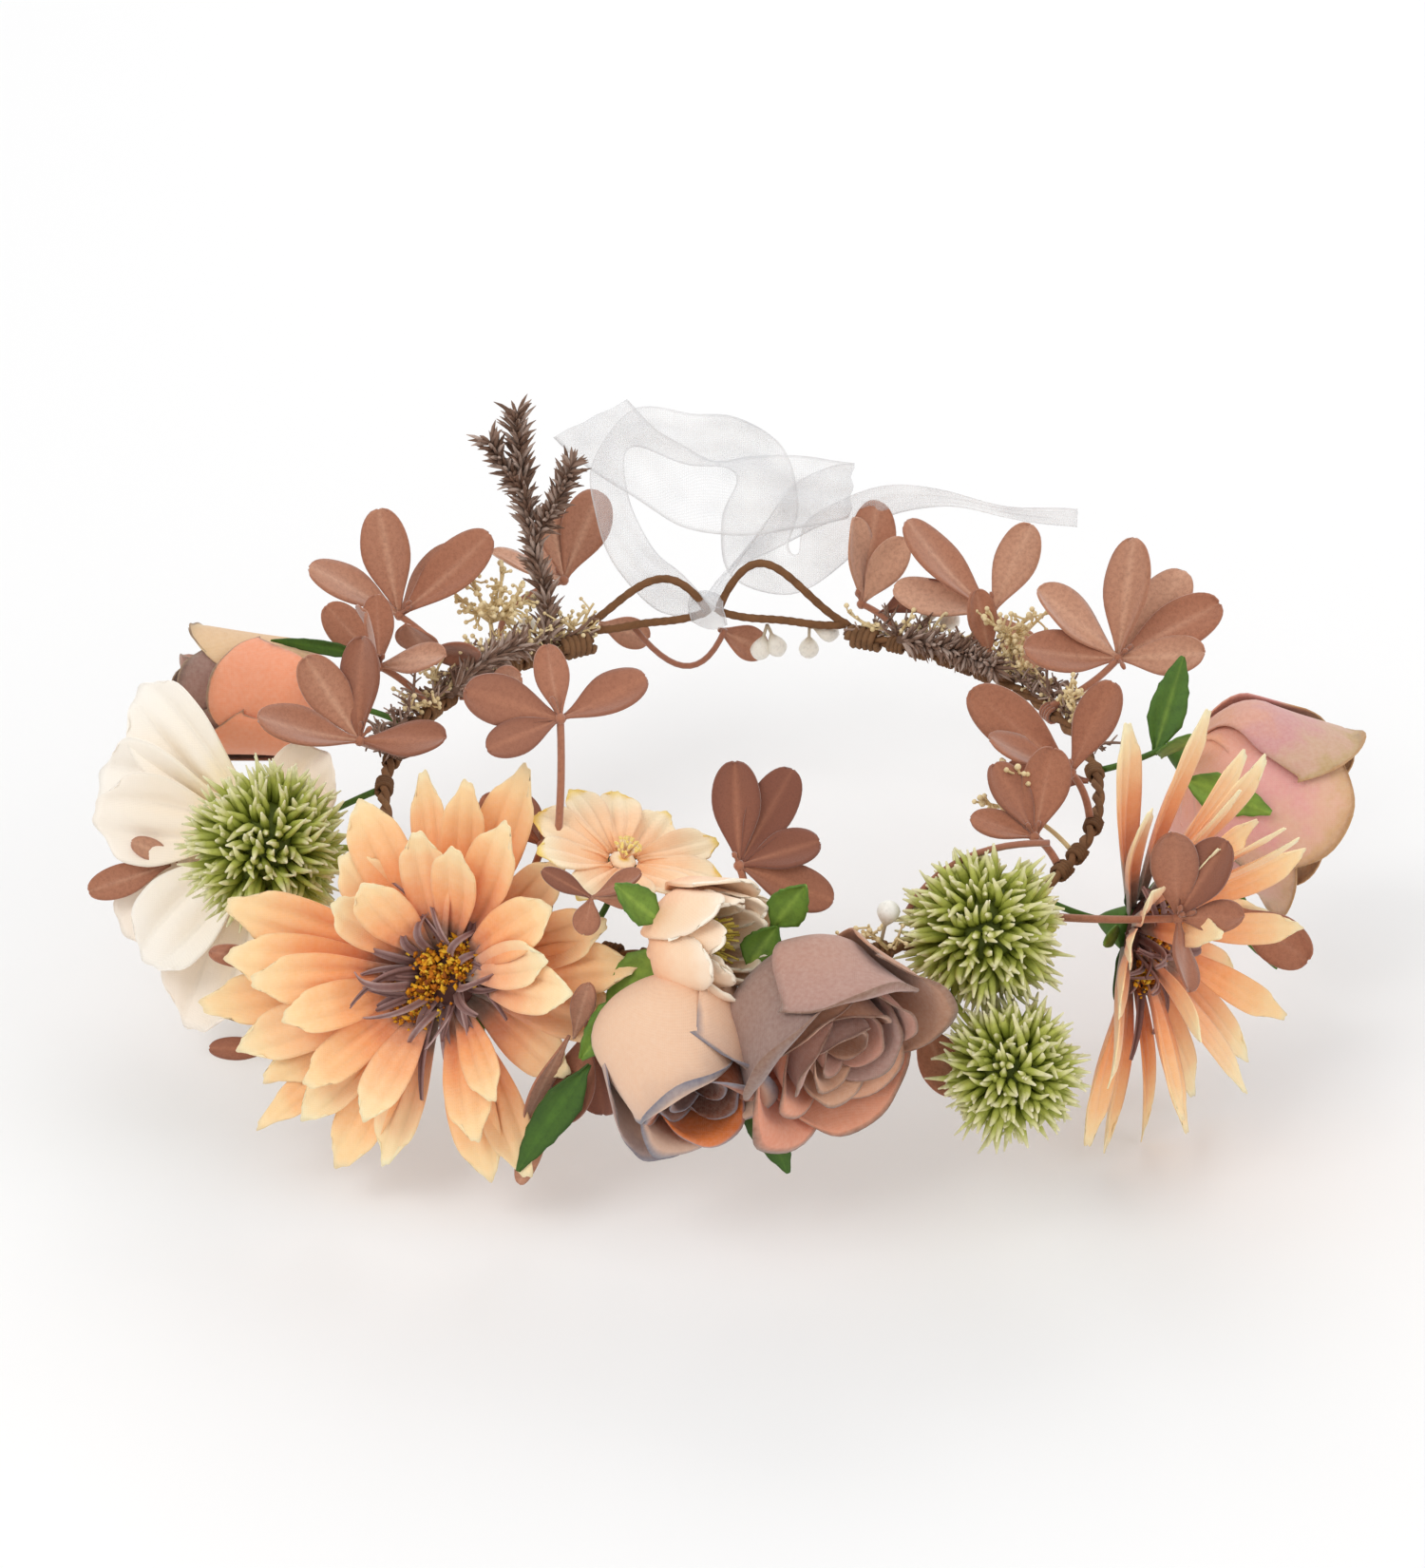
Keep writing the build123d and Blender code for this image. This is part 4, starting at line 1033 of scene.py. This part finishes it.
make_tie_loop("left_tie_loop", (-45, 90.5, 1.5), (-9, 98, 3.5), 12, 0.62, 1)
make_tie_loop("right_tie_loop", (31, 92, 2.5), (-6, 98.5, 3.5), 16, 0.66, 2)
bindings = Shape(451)
for angle in (BAND_END_RIGHT - 3, BAND_END_LEFT + 3):
    add_coil(bindings, angle, radius=2.5, strand=1.0, turns=5, length=9, tint=0.6)
piece("loop_bindings", bindings, crepe_tape)
wraps = Shape(461)
for angle in sorted(taped_angles):
    add_coil(wraps, angle, radius=1.9, strand=0.7, turns=4, length=5, tint=wraps.rng.uniform(0.2, 0.7))
piece("stem_tape_wraps", wraps, crepe_tape)

# ---- ribbon

CLOTH_THICKNESS = 0.12
# Each bend of the ribbon: its middle, then the way from one edge to the other.
RIBBON_BENDS = [
    (-42, 106, 60, 21, 2, 10), (-34, 107, 51, 21, 4, 9), (-23, 108, 43, 15, 12, 10),
    (-12, 108, 36, 8, 18, 12), (0, 106, 36, 3, 10, 20), (14, 104, 38, 1, 3, 22),
    (26, 105, 38, 0, 3, 18), (32, 110, 36, 0, 2, 16), (25, 115, 32, 1, -3, 20),
    (12, 114, 25, 4, -6, 22), (0, 110, 15, 8, -10, 16), (-7, 104, 7, 8, -8, 8),
    (-9, 100, 3, 5, -6, 5), (-20, 102, 8, 7, 2, 11), (-30, 104, 18, 11, 3, 4),
    (-36, 107, 32, 10, 5, 2), (-37, 111, 45, 9, 7, -2), (-29, 115, 53, 3, 6, -14),
    (-14, 116, 49, 0, 6, -18), (-2, 114, 49, -2, 8, -20), (6, 113, 42, -14, 8, -14),
    (6, 114, 27, -22, 3, -6), (6, 112, 13, -16, 4, -12), (16, 110, 10, -2, 4, -15),
    (26, 112, 20, 12, 4, -15), (40, 113, 31, 5, 6, -12), (58, 111, 33, 1, 12, -10),
    (78, 108, 30, 0, 14, -9), (96, 104, 30, 1, 12, -12)]


def through(points, steps):
    """A smooth curve that passes through every point."""
    points = np.asarray(points, float)
    padded = np.concatenate([2 * points[:1] - points[1:2], points, 2 * points[-1:] - points[-2:-1]])
    t = np.linspace(0, 1, steps, endpoint=False)[:, None]
    parts = []
    for a, b, c, d in zip(padded, padded[1:], padded[2:], padded[3:]):
        parts.append(0.5 * (2 * b + (c - a) * t + (2 * a - 5 * b + 4 * c - d) * t ** 2
                            + (3 * b - a - 3 * c + d) * t ** 3))
    return np.concatenate(parts + [points[-1:]])


ribbon = Shape(471)
curve = through(RIBBON_BENDS, 9)
middle, width = curve[:, None, :3], curve[:, None, 3:]
ahead = np.gradient(curve[:, :3], axis=0)
ahead /= np.linalg.norm(ahead, axis=1, keepdims=True)
out = np.cross(width[:, 0], ahead)
out /= np.maximum(np.linalg.norm(out, axis=1, keepdims=True), 1e-9)
along = np.linspace(0, 1, len(curve))[:, None]
across = np.linspace(-0.5, 0.5, 13)[None, :]
flutter = 0.9 * np.sin(90 * along + 4 * across) * np.abs(across) + 0.5 * np.sin(16 * across + 40 * along)
strip = middle + width * across[..., None] + out[:, None, :] * flutter[..., None]
ribbon.sheet(strip, along, 2 * across, 0.5, 2 * np.abs(across), thickness=CLOTH_THICKNESS)
# The knot: a band of the same cloth wound once round both loops
turn = np.linspace(0, 2 * pi, 40)[:, None]
row = np.linspace(-1, 1, 9)[None, :]
swell = 5.2 + 0.7 * np.sin(3 * turn + 2.2 * row) - 1.4 * row ** 2
wound = vec(-9, 99.5, 3.5) + np.stack(np.broadcast_arrays(
    5 * row + 0.6 * np.sin(2 * turn), swell * np.cos(turn), swell * np.sin(turn)), 2)
ribbon.sheet(wound, turn / 7, row, 0.5, np.abs(row), thickness=CLOTH_THICKNESS)

f = Finish("organza", 0.55, sheen=0.4, specular=0.35)
threads = f.weave(0.2, 0.0006)
# Fold noise: it thickens the cloth's cover, and it mixes grey into the white cloth as painted shade in the
# folds.
fold_cover_and_painted_shade = f.spread(f.noise(60, 2), 0.3, 0.7)
hem = f.maths("MULTIPLY", f.spread(f.shade, 0.9, 1.0), 0.35)
cloth = f.maths("ADD", 0.2, f.maths("MULTIPLY", fold_cover_and_painted_shade, 0.14))
cover = f.maths("ADD", hem, cloth, clamp=True)
see_through = f.maths("SUBTRACT", cover, f.maths("MULTIPLY", threads, 0.08), clamp=True)
f.links.new(see_through, f.shader.inputs["Alpha"])
# White cloth with grey where the fold noise is high: the grey is painted shade in the folds, not the cloth's
# own colour.
organza = f.colour(f.mix("fafafa", "e6e7ea", fold_cover_and_painted_shade))
made = piece("organza_ribbon", ribbon, organza)

# ---- floor, lights, camera

floor_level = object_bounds()[0][2] - 0.0005
bpy.ops.mesh.primitive_plane_add(size=6, location=(0, 0, floor_level))
floor = bpy.context.object
floor.name = "floor"
ground = bpy.data.materials.new("floor_paint")
ground.use_nodes = True
paint = ground.node_tree.nodes["Principled BSDF"]
paint.inputs["Base Color"].default_value = (0.9, 0.9, 0.9, 1)
paint.inputs["Roughness"].default_value = 0.9
floor.data.materials.append(ground)

world = bpy.data.worlds.new("studio")
bpy.context.scene.world = world
world.use_nodes = True
sky = world.node_tree.nodes["Background"]
sky.inputs["Color"].default_value = (1, 1, 1, 1)
sky.inputs["Strength"].default_value = 0.8


def add_light(name, location, size, power):
    """A soft square light that faces the crown."""
    data = bpy.data.lights.new(name, "AREA")
    data.size, data.energy = size, power
    light = place(name, data)
    light.location = location
    aim_at(light, (0, 0, 0))


add_light("key", (-0.9, -1.1, 1.5), 0.9, 10)
add_light("fill", (1.2, -0.8, 0.9), 1.2, 4)
add_light("rim", (0.2, 1.4, 1.2), 1.0, 6)

CAMERA_DISTANCE = 1.2
CAMERA_ELEVATION = radians(28)
aim = Vector((-0.0076, 0, 0))
camera_data = bpy.data.cameras.new("camera")
camera_data.lens = 103.4  # so that the crown fills as much of the width as in the photo
camera = place("camera", camera_data)
camera.location = aim + CAMERA_DISTANCE * Vector((0, -cos(CAMERA_ELEVATION), sin(CAMERA_ELEVATION)))
aim_at(camera, aim)
bpy.context.scene.camera = camera
bpy.context.scene.view_settings.view_transform = "Standard"
